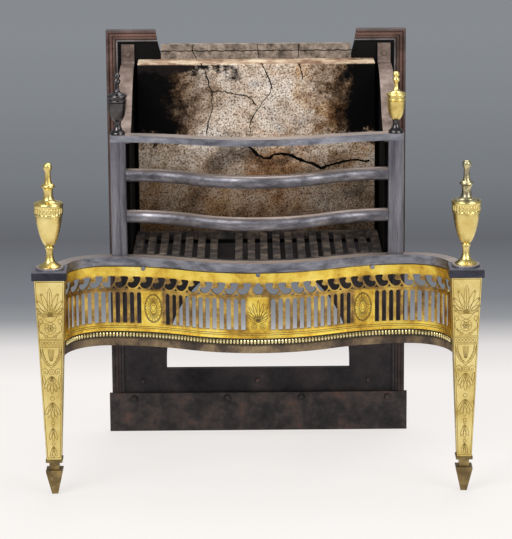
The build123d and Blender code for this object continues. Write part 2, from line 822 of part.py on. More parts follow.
# Serpentine rail: steel bar from cap to cap, with a flange behind the fret
with BuildPart() as serpentine_rail:
    flange_setback = fret_setback + fret_thickness
    with BuildSketch(Plane.XY.offset(rail_bottom)):
        add(serpentine_strip(0, rail_depth))
    extrude(amount=rail_height)
    with BuildSketch(Plane.XY.offset(rail_bottom)):
        add(serpentine_strip(flange_setback, flange_setback + flange_thickness))
    extrude(amount=-flange_drop)
    add(cap_room.part, mode=Mode.SUBTRACT)
    for place in (-fret_screw_place, 0, fret_screw_place):
        with Locations(fret_place(place, rail_bottom - fret_screw_drop)):
            Cylinder(
                screw_shank_radius + hole_clearance,
                4 * flange_setback,
                rotation=(90, 0, 0),
                mode=Mode.SUBTRACT,
            )
serpentine_rail.part.label = "serpentine_rail"
export_step(serpentine_rail.part, "parts/serpentine_rail.step")

# Fret: pierced with a running scroll and four bays of arched slots
with BuildPart() as fret:
    with BuildSketch(Plane.XY.offset(fret_bottom)):
        add(serpentine_strip(fret_setback, flange_setback))
    extrude(amount=fret_height)
    add(leg_room.part, mode=Mode.SUBTRACT)
    through = 8 * fret_thickness
    band_z = rail_bottom - band_top_margin - band_height / 2
    slot_z = rail_bottom - slot_top_margin - slot_height / 2
    slot_pitch = bay_length / slots_per_bay
    bay_starts = (panel_half, side_panel_place + panel_half)
    slot_places = [
        side * (start + (slot + 0.5) * slot_pitch)
        for side in (-1, 1)
        for start in bay_starts
        for slot in range(slots_per_bay)
    ]
    scroll_count = int((fret_path.length / 2 - run_on - scroll_width) / scroll_pitch)
    scroll_places = [scroll * scroll_pitch for scroll in range(-scroll_count, scroll_count + 1)]
    with Locations(*[fret_place(place, slot_z) for place in slot_places]):
        Box(slot_width, through, slot_height - slot_width, mode=Mode.SUBTRACT)
    arch_z = slot_z + (slot_height - slot_width) / 2
    with Locations(*[fret_place(place, arch_z) for place in slot_places]):
        Cylinder(slot_width / 2, through, rotation=(90, 0, 0), mode=Mode.SUBTRACT)
    scroll_box = band_height - scroll_width / 2
    with Locations(*[fret_place(place, band_z + band_height / 2 - scroll_box / 2) for place in scroll_places]):
        Box(scroll_width, through, scroll_box, mode=Mode.SUBTRACT)
    with Locations(*[fret_place(place, band_z + band_height / 2 - scroll_box) for place in scroll_places]):
        Cylinder(scroll_width / 2, through, rotation=(90, 0, 0), mode=Mode.SUBTRACT)
    for place in (-fret_screw_place, 0, fret_screw_place):
        with Locations(fret_place(place, rail_bottom - fret_screw_drop)):
            Cylinder(
                screw_shank_radius + hole_clearance,
                through,
                rotation=(90, 0, 0),
                mode=Mode.SUBTRACT,
            )
fret.part.label = "fret"
export_step(fret.part, "parts/fret.step")

# Screws that hold the fret to the rail's flange
with BuildPart() as fret_screws:
    for place in (-fret_screw_place, 0, fret_screw_place):
        with Locations(fret_place(place, rail_bottom - fret_screw_drop)):
            shank_length = fret_thickness + flange_thickness + screw_seat
            head_rear = -fret_thickness / 2 - screw_seat
            with Locations((0, head_rear + shank_length / 2, 0)):
                Cylinder(screw_shank_radius, shank_length, rotation=(90, 0, 0))
            with Locations((0, head_rear - screw_head_height / 2, 0)):
                Cylinder(screw_head_radius, screw_head_height, rotation=(90, 0, 0))
fret_screws.part.label = "fret_screws"
export_step(fret_screws.part, "parts/fret_screws.step")

# Lower rail: iron strip lapped behind the fret's foot
with BuildPart() as lower_rail:
    with BuildSketch(Plane.XY.offset(lower_rail_bottom)):
        add(serpentine_strip(flange_setback, flange_setback + lower_rail_thickness))
    extrude(amount=lower_rail_height)
    add(leg_room.part, mode=Mode.SUBTRACT)
lower_rail.part.label = "lower_rail"
export_step(lower_rail.part, "parts/lower_rail.step")

# Beaded moulding: brass strip on the lower rail
with BuildPart() as bead_moulding:
    bead_top = fret_bottom - bead_top_drop
    with BuildSketch(Plane.XY.offset(bead_top)):
        add(serpentine_strip(flange_setback - bead_thickness, flange_setback))
    extrude(amount=-bead_height)
    add(leg_room.part, mode=Mode.SUBTRACT)
bead_moulding.part.label = "bead_moulding"
export_step(bead_moulding.part, "parts/bead_moulding.step")

# Rear shelf between the bearers, under the fireback and the grid's rear edge
with BuildPart() as rear_shelf:
    with BuildSketch(Plane.XY.offset(bearer_top - bearer_thickness)):
        with Locations((0, (shelf_front_y + plate_front_y) / 2)):
            Rectangle(2 * bearer_inner_x, plate_front_y - shelf_front_y)
    extrude(amount=bearer_thickness)
rear_shelf.part.label = "rear_shelf"
export_step(rear_shelf.part, "parts/rear_shelf.step")

# Bottom grid: loose casting with a bowed front rim, slotted, one bar lost
with BuildPart() as bottom_grid:
    grid_setback = rail_depth + grid_gap
    with BuildSketch(Plane.XY.offset(bearer_top)):
        with BuildLine():
            bowed_line(recess_x, front_bow, middle_y, grid_setback)
            Polyline(
                (-recess_x, recess_y + grid_setback),
                (-recess_x, grid_rear_y),
                (recess_x, grid_rear_y),
                (recess_x, recess_y + grid_setback),
            )
        make_face()
        Rectangle(2 * grid_half_width, 2 * overall_depth, mode=Mode.INTERSECT)
    extrude(amount=grid_thickness)
    with BuildSketch(Plane.XY.offset(bearer_top)):
        slots = range(-grid_slots_each_side, grid_slots_each_side + 1)
        with Locations(*[(slot * grid_slot_pitch, 0) for slot in slots]):
            Rectangle(grid_slot_width, 2 * overall_depth)
        with Locations((lost_bar * grid_slot_pitch, 0)):
            Rectangle(grid_slot_pitch, 2 * overall_depth)
        with BuildLine():
            bowed_line(recess_x, front_bow, middle_y, grid_setback + grid_rim)
            Polyline(
                (-recess_x, recess_y + grid_setback + grid_rim),
                (-recess_x, grid_rear_y - grid_rim),
                (recess_x, grid_rear_y - grid_rim),
                (recess_x, recess_y + grid_setback + grid_rim),
            )
        make_face(mode=Mode.INTERSECT)
    extrude(amount=grid_thickness, mode=Mode.SUBTRACT)
bottom_grid.part.label = "bottom_grid"
export_step(bottom_grid.part, "parts/bottom_grid.step")
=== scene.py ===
import random
from math import atan2, cos, pi, radians, sin

import bmesh
import bpy
from mathutils import Matrix, Vector


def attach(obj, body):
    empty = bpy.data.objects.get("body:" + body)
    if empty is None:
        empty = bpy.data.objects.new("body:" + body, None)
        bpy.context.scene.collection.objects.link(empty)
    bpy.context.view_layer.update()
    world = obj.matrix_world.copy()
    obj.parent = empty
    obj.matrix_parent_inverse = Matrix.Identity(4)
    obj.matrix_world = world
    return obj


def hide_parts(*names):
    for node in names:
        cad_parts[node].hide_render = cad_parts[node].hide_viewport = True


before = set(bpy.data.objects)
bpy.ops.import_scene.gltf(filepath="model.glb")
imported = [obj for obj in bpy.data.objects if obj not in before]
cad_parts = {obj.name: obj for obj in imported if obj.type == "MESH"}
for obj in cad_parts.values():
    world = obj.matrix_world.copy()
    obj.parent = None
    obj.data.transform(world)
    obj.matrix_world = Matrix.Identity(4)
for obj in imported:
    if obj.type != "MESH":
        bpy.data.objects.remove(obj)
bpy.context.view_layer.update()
scene = bpy.context.scene
rng = random.Random(7)

# Sizes of the grate, in metres
LEG_X = 0.369
LEG_Y = -0.183
CASING_TOP, CASING_FOOT = 0.401, 0.066
CASING_TOP_HALF, CASING_FOOT_HALF = 0.0265, 0.013
# The front in plan: a bow in the middle, a recess on each side of it, and a run out to each leg
MIDDLE_Y, RECESS_X, RECESS_Y = -0.156, 0.272, -0.093
END_X, END_Y = 0.070, 0.059
BOW_TURN = 2 * atan2(RECESS_Y - MIDDLE_Y, RECESS_X)
BOW_RADIUS = RECESS_X / 2 / sin(BOW_TURN)
END_TURN = 2 * atan2(END_Y, END_X)
END_RADIUS = END_X / sin(END_TURN)
# Set-back of the line along which the fret is measured, and the step at which flat work is cut to bend
FRET_LINE = 0.0045
BEND_STEP = 0.008
# Front faces of the fireback and of the tile over it, and the outer edges of the back plate
BRICK_FRONT, TILE_FRONT = 0.142, 0.202
PLATE_HALF, PLATE_TOP = 0.283, 0.786
# Heights of the large urns' feet and covers, and the place of the small urns
URN_FOOT_Z, URN_COVER_Z = 0.4205, 0.5355
SMALL_URN_X, SMALL_URN_Y = 0.250, -0.072


# Making pieces


def piece(name, shape, finish, stands_for=(), body="grate", sharp=35):
    """A finished mesh from a bmesh, riding on its body."""
    bmesh.ops.remove_doubles(shape, verts=shape.verts, dist=1e-6)
    bmesh.ops.recalc_face_normals(shape, faces=shape.faces)
    mesh = bpy.data.meshes.new(name)
    shape.to_mesh(mesh)
    shape.free()
    mesh.materials.append(finish)
    mesh.polygons.foreach_set("use_smooth", [True] * len(mesh.polygons))
    mesh.set_sharp_from_angle(angle=radians(sharp))
    obj = bpy.data.objects.new(name, mesh)
    scene.collection.objects.link(obj)
    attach(obj, body)
    if stands_for:
        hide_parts(*stands_for)
    return obj


def turned(shape, centre, profile, steps=64, flutes=()):
    """Spin a profile of (radius, height) about an upright axis through centre."""
    x, y, z = centre
    verts = [shape.verts.new((x + r, y, z + h)) for r, h in profile]
    edges = [shape.edges.new(pair) for pair in zip(verts, verts[1:])]
    bmesh.ops.spin(
        shape, geom=verts + edges, cent=centre, axis=(0, 0, 1), angle=2 * pi, steps=steps, use_merge=True
    )
    for low, high, count, depth in flutes:
        for v in shape.verts:
            away = Vector((v.co.x - x, v.co.y - y))
            height = v.co.z - z
            if low <= height <= high and away.length > 1e-4:
                share = 1 + depth * cos(count * atan2(away.y, away.x)) / away.length
                v.co.x, v.co.y = x + away.x * share, y + away.y * share


def along_front(place, back):
    """Point on the serpentine front, a distance along the fret and set back from the rail's face."""
    side = 1 if place >= 0 else -1
    place = abs(place)
    first = (BOW_RADIUS - FRET_LINE) * BOW_TURN
    second = first + (BOW_RADIUS + FRET_LINE) * BOW_TURN
    third = second + (END_RADIUS + FRET_LINE) * END_TURN
    if place < first:
        turn = place / (BOW_RADIUS - FRET_LINE)
        x = (BOW_RADIUS - back) * sin(turn)
        y = MIDDLE_Y + BOW_RADIUS - (BOW_RADIUS - back) * cos(turn)
    elif place < second:
        turn = BOW_TURN - (place - first) / (BOW_RADIUS + FRET_LINE)
        x = RECESS_X - (BOW_RADIUS + back) * sin(turn)
        y = RECESS_Y - BOW_RADIUS + (BOW_RADIUS + back) * cos(turn)
    else:
        turn = min(END_TURN, (place - second) / (END_RADIUS + FRET_LINE))
        run = max(0, place - third)
        x = RECESS_X + (END_RADIUS + back) * sin(turn) + run * cos(turn)
        y = RECESS_Y - END_RADIUS + (END_RADIUS + back) * cos(turn) - run * sin(turn)
    return side * x, y


def bend(shape):
    """Lay a flat shape (along, set back, height) on the serpentine front."""
    for v in shape.verts:
        x, y = along_front(v.co.x, v.co.y)
        v.co.x, v.co.y = x, y


def cut_across(shape, step, limit=0.4):
    """Cut a flat shape at even steps along X, so that it bends smoothly."""
    count = int(limit / step)
    for index in range(-count, count + 1):
        geom = shape.verts[:] + shape.edges[:] + shape.faces[:]
        bmesh.ops.bisect_plane(shape, geom=geom, plane_co=(index * step, 0, 0), plane_no=(1, 0, 0))


def box(shape, low, high):
    """A box between two corners."""
    middle = [(a + b) / 2 for a, b in zip(low, high)]
    size = [b - a for a, b in zip(low, high)]
    place = Matrix.Translation(middle) @ Matrix.Diagonal((*size, 1))
    bmesh.ops.create_cube(shape, size=1, matrix=place)


def dome(shape, place, radii, segments=10):
    """A small swelling, half sunk in its ground."""
    matrix = Matrix.Translation(place) @ Matrix.Diagonal((*radii, 1))
    bmesh.ops.create_uvsphere(shape, u_segments=segments, v_segments=6, radius=1, matrix=matrix)


def rounded(points, rounds=2):
    """Cut the corners of a closed outline."""
    for _ in range(rounds):
        cut = []
        for (ax, ay), (bx, by) in zip(points, points[1:] + points[:1]):
            cut.append((0.75 * ax + 0.25 * bx, 0.75 * ay + 0.25 * by))
            cut.append((0.25 * ax + 0.75 * bx, 0.25 * ay + 0.75 * by))
        points = cut
    return points


def loop(shape, points, back):
    """A closed outline in the flat front's plane."""
    verts = [shape.verts.new((x, back, z)) for x, z in points]
    for pair in zip(verts, verts[1:] + verts[:1]):
        shape.edges.new(pair)


def lines(name, strokes, radius, finish, flat=None):
    """Fine lines of round section: each stroke is (points, closed); flat is a level to press them to."""
    curve = bpy.data.curves.new(name, "CURVE")
    curve.dimensions = "3D"
    curve.bevel_depth = radius
    curve.bevel_resolution = 1
    for points, closed in strokes:
        spline = curve.splines.new("POLY")
        spline.points.add(len(points) - 1)
        for target, point in zip(spline.points, points):
            target.co = (*point[:3], 1)
            target.radius = point[3] if len(point) > 3 else 1
        spline.use_cyclic_u = closed
    holder = bpy.data.objects.new(name + "_line", curve)
    mesh = bpy.data.meshes.new_from_object(holder)
    shape = bmesh.new()
    shape.from_mesh(mesh)
    bpy.data.objects.remove(holder)
    bpy.data.meshes.remove(mesh)
    bpy.data.curves.remove(curve)
    if flat:
        level, keep = flat
        for v in shape.verts:
            v.co.y = level + (v.co.y - level) * keep
    return piece(name, shape, finish)


# Finishes


def srgb(text):
    """A linear colour from an sRGB hex value."""
    parts = [int(text[i:i + 2], 16) / 255 for i in (1, 3, 5)]
    return tuple(c / 12.92 if c <= 0.04045 else ((c + 0.055) / 1.055) ** 2.4 for c in parts) + (1,)


def add(tree, kind, settings=None, **inputs):
    """Add a node; each input, by name or as i and its number, gets a value or a (node, output) link."""
    node = tree.nodes.new(kind)
    for key, value in (settings or {}).items():
        if key == "stops":
            ramp = node.color_ramp
            while len(ramp.elements) < len(value):
                ramp.elements.new(0.5)
            for element, (position, colour) in zip(ramp.elements, value):
                element.position = position
                element.color = srgb(colour)
        else:
            setattr(node, key, value)
    for key, value in inputs.items():
        numbered = key[0] == "i" and key[1:].isdigit()
        socket = node.inputs[int(key[1:]) if numbered else key.replace("_", " ")]
        if isinstance(value, tuple) and isinstance(value[0], bpy.types.Node):
            tree.links.new(value[0].outputs[value[1]], socket)
        else:
            socket.default_value = value
    return node


def finish_of(name):
    """An empty material with its surface shader and object coordinates."""
    material = bpy.data.materials.new(name)
    material.use_nodes = True
    tree = material.node_tree
    tree.nodes.clear()
    shader = add(tree, "ShaderNodeBsdfPrincipled")
    add(tree, "ShaderNodeOutputMaterial", Surface=(shader, "BSDF"))
    place = add(tree, "ShaderNodeTexCoord")
    return material, tree, shader, (place, "Object")


def worn_metal(
    name, stops, patch_mm, rough, metallic, bump, grain_mm=1.2, stretch=(1, 1, 1), top_dust_and_light=None, sheen=0.5
):
    """Metal with cloudy tarnish: patches of colour, uneven polish, a fine grain, and, if given, a lighter
    colour on upward faces that is partly dust and partly painted top light.
    """
    material, tree, shader, place = finish_of(name)
    drawn = add(tree, "ShaderNodeMapping", Vector=place, Scale=stretch)
    clouds = add(
        tree, "ShaderNodeTexNoise",
        Vector=(drawn, "Vector"), Scale=1000 / patch_mm, Detail=8.0, Roughness=0.68,
    )
    ramp = add(tree, "ShaderNodeValToRGB", {"stops": stops}, Fac=(clouds, "Fac"))
    colour = (ramp, "Color")
    # Upward faces take the given colour: partly dust, partly painted light from above
    if top_dust_and_light:
        surface = add(tree, "ShaderNodeNewGeometry")
        facing = add(tree, "ShaderNodeSeparateXYZ", Vector=(surface, "Normal"))
        upward = add(
            tree, "ShaderNodeMapRange", Value=(facing, "Z"), From_Min=0.55, From_Max=0.95, To_Max=0.8
        )
        dusted_and_top_lit = add(
            tree, "ShaderNodeMix", {"data_type": "RGBA"}, i0=(upward, "Result"), i6=colour, i7=srgb(top_dust_and_light)
        )
        colour = (dusted_and_top_lit, 2)
    tree.links.new(colour[0].outputs[colour[1]], shader.inputs["Base Color"])
    shader.inputs["Specular IOR Level"].default_value = sheen
    fine = add(tree, "ShaderNodeTexNoise", Vector=(drawn, "Vector"), Scale=1000 / grain_mm, Detail=3.0)
    polish = add(
        tree, "ShaderNodeMapRange",
        Value=(clouds, "Fac"), From_Min=0.3, From_Max=0.7, To_Min=rough[1], To_Max=rough[0],
    )
    tree.links.new(polish.outputs["Result"], shader.inputs["Roughness"])
    relief = add(tree, "ShaderNodeBump", Height=(fine, "Fac"), Strength=bump, Distance=0.0004)
    tree.links.new(relief.outputs["Normal"], shader.inputs["Normal"])
    shader.inputs["Metallic"].default_value = metallic
    return material


# Brass, cast and hand-polished: pale yellow with browner clouds where the polish has gone
brass = worn_metal(
    "polished_brass", [(0.28, "#a58a48"), (0.42, "#dcc478"), (0.58, "#efdc94"), (0.8, "#f8ecb4")],
    60, (0.22, 0.40), 1.0, 0.25,
)
# Brass, its yellow clouded with grey
grey_brass = worn_metal(
    "greyed_brass", [(0.32, "#6b6656"), (0.46, "#9a937a"), (0.58, "#cfc293"), (0.75, "#f0e4b0")],
    14, (0.22, 0.40), 1.0, 0.2,
)
# Engraved lines, a shade browner than the brass round them
engraved = worn_metal("engraved_brass", [(0.35, "#6e5a26"), (0.7, "#a88d42")], 12, (0.5, 0.7), 0.4, 0.1)
# Engraving of the fret, dark with old polish
fret_line = worn_metal("engraved_fret_brass", [(0.35, "#3a2c10"), (0.7, "#6a5220")], 12, (0.6, 0.8), 0.1, 0.1)
# Brass behind the beads, black with old polish
dark_brass = worn_metal("blackened_brass", [(0.35, "#1f1a10"), (0.7, "#4d4024")], 12, (0.5, 0.7), 0.4, 0.1)
# Beads, rubbed pale by polishing
bead_brass = worn_metal("rubbed_brass", [(0.35, "#d9c88c"), (0.7, "#f7edbe")], 12, (0.22, 0.36), 1.0, 0.1)


def fret_of(name):
    """Sheet brass: bright yellow strips above and below, and pierced work between them gone tan and brown."""
    material, tree, shader, place = finish_of(name)
    clouds = add(tree, "ShaderNodeTexNoise", Vector=place, Scale=26.0, Detail=8.0, Roughness=0.7)
    bright = add(
        tree, "ShaderNodeValToRGB",
        {"stops": [(0.32, "#a8812f"), (0.44, "#dcb64c"), (0.54, "#f2d45e"), (0.75, "#fbe98a")]},
        Fac=(clouds, "Fac"),
    )
    tanned = add(
        tree, "ShaderNodeValToRGB",
        {"stops": [(0.32, "#5e4930"), (0.46, "#957748"), (0.58, "#c09a52"), (0.75, "#e0bd64")]},
        Fac=(clouds, "Fac"),
    )
    axes = add(tree, "ShaderNodeSeparateXYZ", Vector=place)
    # The tan lies between the bright strips, and thins in the clouds
    above = add(
        tree, "ShaderNodeMapRange",
        Value=(axes, "Z"), From_Min=0.376, From_Max=0.382, To_Min=1.0, To_Max=0.0,
    )
    below = add(tree, "ShaderNodeMapRange", Value=(axes, "Z"), From_Min=0.288, From_Max=0.296)
    between = add(
        tree, "ShaderNodeMath", {"operation": "MULTIPLY"}, i0=(above, "Result"), i1=(below, "Result")
    )
    middle = add(
        tree, "ShaderNodeMapRange",
        Value=(clouds, "Fac"), From_Min=0.62, From_Max=0.46, To_Min=0.7, To_Max=1.0,
    )
    # The panels between the bays of slots stay bright
    across = add(tree, "ShaderNodeMath", {"operation": "ABSOLUTE"}, i0=(axes, "X"))
    from_panel = add(tree, "ShaderNodeMath", {"operation": "PINGPONG"}, i0=(across, "Value"), i1=0.097)
    off_panel = add(
        tree, "ShaderNodeMapRange", Value=(from_panel, "Value"), From_Min=0.016, From_Max=0.021
    )
    lower = add(tree, "ShaderNodeMapRange", Value=(axes, "Z"), From_Min=0.352, From_Max=0.356)
    pierced = add(
        tree, "ShaderNodeMath", {"operation": "MAXIMUM"}, i0=(off_panel, "Result"), i1=(lower, "Result")
    )
    kept = add(
        tree, "ShaderNodeMath", {"operation": "MULTIPLY"}, i0=(between, "Value"), i1=(middle, "Result")
    )
    amount = add(
        tree, "ShaderNodeMath", {"operation": "MULTIPLY"}, i0=(kept, "Value"), i1=(pierced, "Value")
    )
    mixed = add(
        tree, "ShaderNodeMix", {"data_type": "RGBA"},
        i0=(amount, "Value"), i6=(bright, "Color"), i7=(tanned, "Color"),
    )
    tree.links.new(mixed.outputs[2], shader.inputs["Base Color"])
    polish = add(
        tree, "ShaderNodeMapRange",
        Value=(clouds, "Fac"), From_Min=0.3, From_Max=0.7, To_Min=0.46, To_Max=0.24,
    )
    tree.links.new(polish.outputs["Result"], shader.inputs["Roughness"])
    grain = add(tree, "ShaderNodeTexNoise", Vector=place, Scale=420.0, Detail=3.0)
    relief = add(tree, "ShaderNodeBump", Height=(grain, "Fac"), Strength=0.35, Distance=0.0003)
    tree.links.new(relief.outputs["Normal"], shader.inputs["Normal"])
    shader.inputs["Metallic"].default_value = 1.0
    return material


fret_brass = fret_of("tarnished_sheet_brass")
# Steel, forged and filed, dulled to a cool grey, its upper faces warmer and lighter: warm dust burnt on, and
# painted top light
steel = worn_metal(
    "dulled_steel", [(0.30, "#3f4048"), (0.43, "#6c6d76"), (0.56, "#8b8c95"), (0.75, "#b0b0b6")],
    26, (0.28, 0.50), 0.9, 0.6, stretch=(0.5, 1, 1.6), top_dust_and_light="#cdbdb2",
)
# The round bars' steel, warmer and duller from the fire, its upper faces browner and lighter: dust, and
# painted top light
bar_steel = worn_metal(
    "fire_dulled_steel", [(0.30, "#37353a"), (0.43, "#5c5a60"), (0.56, "#7b787e"), (0.75, "#a5a2a6")],
    22, (0.28, 0.48), 0.85, 0.6, stretch=(0.5, 1, 1.4), top_dust_and_light="#9d8c80",
)
# The uprights' steel, drawn out along its length
drawn_steel = worn_metal(
    "drawn_steel", [(0.30, "#3a393f"), (0.43, "#5f5e65"), (0.57, "#7b7a81"), (0.75, "#9a999f")],
    12, (0.34, 0.52), 0.85, 0.5, stretch=(1, 1, 0.08),
)
# Burnished dark steel of the small urns
dark_steel = worn_metal(
    "burnished_steel", [(0.30, "#2a2727"), (0.55, "#565253"), (0.8, "#8f8b8b")], 40, (0.16, 0.28), 0.97, 0.06
)
# Cast iron, blackened, rough from the sand mould
cast_iron = worn_metal(
    "blackened_cast_iron",
    [(0.32, "#1b1819"), (0.46, "#302b2c"), (0.56, "#443b38"), (0.66, "#5c423a"), (0.8, "#6f5850")],
    48, (0.42, 0.62), 0.5, 0.7, 2.0,
)
# Filed iron of the leg caps, blue-black, with a lighter top that is a painted highlight
cap_iron = worn_metal(
    "filed_iron", [(0.30, "#22222a"), (0.50, "#34343e"), (0.70, "#4c4c56")],
    40, (0.32, 0.48), 0.75, 0.4, top_dust_and_light="#8f8c94",
)
# Wrought iron strips, warm brown with rust
rusty_iron = worn_metal(
    "rusty_wrought_iron", [(0.30, "#40342e"), (0.45, "#6a5950"), (0.60, "#86756b"), (0.78, "#a08f84")],
    40, (0.50, 0.72), 0.4, 0.8, 2.0,
)
# Iron of the lower rail, darker
dark_iron = worn_metal(
    "dark_rusty_iron", [(0.34, "#2b2420"), (0.46, "#4d4036"), (0.56, "#75624a"), (0.70, "#93805e")],
    60, (0.50, 0.72), 0.4, 0.8, 2.0,
)
# Grid iron, burnt brown and scaly from the fire
burnt_iron = worn_metal(
    "burnt_cast_iron", [(0.36, "#0f0d0d"), (0.47, "#2a2422"), (0.58, "#55493f"), (0.72, "#8a7865")],
    24, (0.6, 0.8), 0.3, 1.0, 2.4,
)
# Sheet iron of the cheeks and rear shelf, near black: soot, and painted shade inside the basket
soot_and_shade_black_iron = worn_metal(
    "soot_and_shade_sheet_iron", [(0.35, "#020202"), (0.6, "#070707"), (0.85, "#141312")],
    60, (0.9, 1.0), 0.0, 0.6, 2.0, sheen=0.08,
)
# Soot in the open cracks
soot = worn_metal("soot", [(0.4, "#030303"), (0.8, "#0e0c0a")], 10, (0.9, 0.95), 0.0, 0.3, sheen=0.08)
# Iron of the feet, brown patina over old gilding
brown_iron = worn_metal(
    "brown_patinated_iron", [(0.30, "#564632"), (0.5, "#7d6a45"), (0.65, "#a08a58"), (0.82, "#c2ab74")],
    22, (0.32, 0.48), 0.8, 0.5,
)


def plate_of(name):
    """Cast iron plate: black field, darker towards the top with soot and painted shade, and a moulded border
    rubbed to a rusty brown at the top, its reeds striped with painted shade and a painted highlight.
    """
    material, tree, shader, place = finish_of(name)
    clouds = add(tree, "ShaderNodeTexNoise", Vector=place, Scale=16.0, Detail=8.0, Roughness=0.68)
    field = add(
        tree, "ShaderNodeValToRGB", {"stops": [(0.30, "#171415"), (0.52, "#2f2b2d"), (0.72, "#453d3b")]},
        Fac=(clouds, "Fac"),
    )
    axes = add(tree, "ShaderNodeSeparateXYZ", Vector=place)
    across = add(tree, "ShaderNodeMath", {"operation": "ABSOLUTE"}, i0=(axes, "X"))
    from_side = add(tree, "ShaderNodeMath", {"operation": "SUBTRACT"}, i0=PLATE_HALF, i1=(across, "Value"))
    from_top = add(tree, "ShaderNodeMath", {"operation": "SUBTRACT"}, i0=PLATE_TOP, i1=(axes, "Z"))
    inward = add(
        tree, "ShaderNodeMath", {"operation": "MINIMUM"}, i0=(from_side, "Value"), i1=(from_top, "Value")
    )
    # The stepped reeds of the border, from its outer edge 30 mm inwards: rusty brown stripes, with painted
    # shade in the dark lines between the reeds and a painted highlight in the pale line
    run = add(tree, "ShaderNodeMapRange", Value=(inward, "Value"), From_Min=0.0, From_Max=0.030)
    reed_stripes_and_painted_light = add(
        tree, "ShaderNodeValToRGB",
        {"stops": [
            (0.0, "#5c5455"), (0.10, "#6b524b"), (0.19, "#2b1f1d"), (0.23, "#7d6259"),
            (0.37, "#6d4f45"), (0.40, "#171111"), (0.44, "#765d52"), (0.57, "#4f3d38"),
            (0.60, "#0a0808"), (0.67, "#8d8685"), (0.70, "#787170"), (0.73, "#080707"),
        ]},
        Fac=(run, "Result"),
    )
    worn = add(
        tree, "ShaderNodeMapRange",
        Value=(clouds, "Fac"), From_Min=0.36, From_Max=0.62, To_Min=0.45, To_Max=1.25,
    )
    rim = add(
        tree, "ShaderNodeMix", {"data_type": "RGBA", "blend_type": "MULTIPLY"},
        i0=1.0, i6=(reed_stripes_and_painted_light, "Color"), i7=(worn, "Result"),
    )
    border = add(tree, "ShaderNodeMapRange", Value=(inward, "Value"), From_Min=0.0243, From_Max=0.0238)
    height = add(
        tree, "ShaderNodeMapRange",
        Value=(axes, "Z"), From_Min=0.25, From_Max=0.70, To_Min=0.15, To_Max=1.0,
    )
    amount = add(
        tree, "ShaderNodeMath", {"operation": "MULTIPLY"}, i0=(border, "Result"), i1=(height, "Result")
    )
    # The field darkens to near black towards the top: soot and painted shade
    soot_and_shade_high = add(tree, "ShaderNodeMapRange", Value=(axes, "Z"), From_Min=0.45, From_Max=0.65)
    dark = add(
        tree, "ShaderNodeMix", {"data_type": "RGBA"},
        i0=(soot_and_shade_high, "Result"), i6=(field, "Color"), i7=srgb("#060505"),
    )
    mixed = add(tree, "ShaderNodeMix", {"data_type": "RGBA"}, i0=(amount, "Value"), i6=(dark, 2), i7=(rim, 2))
    tree.links.new(mixed.outputs[2], shader.inputs["Base Color"])
    grain = add(tree, "ShaderNodeTexNoise", Vector=place, Scale=450.0, Detail=3.0)
    relief = add(tree, "ShaderNodeBump", Height=(grain, "Fac"), Strength=0.6, Distance=0.0004)
    tree.links.new(relief.outputs["Normal"], shader.inputs["Normal"])
    shader.inputs["Roughness"].default_value = 0.55
    shader.inputs["Metallic"].default_value = 0.3
    shader.inputs["Specular IOR Level"].default_value = 0.2
    return material


plate_iron = plate_of("blackened_plate_iron")


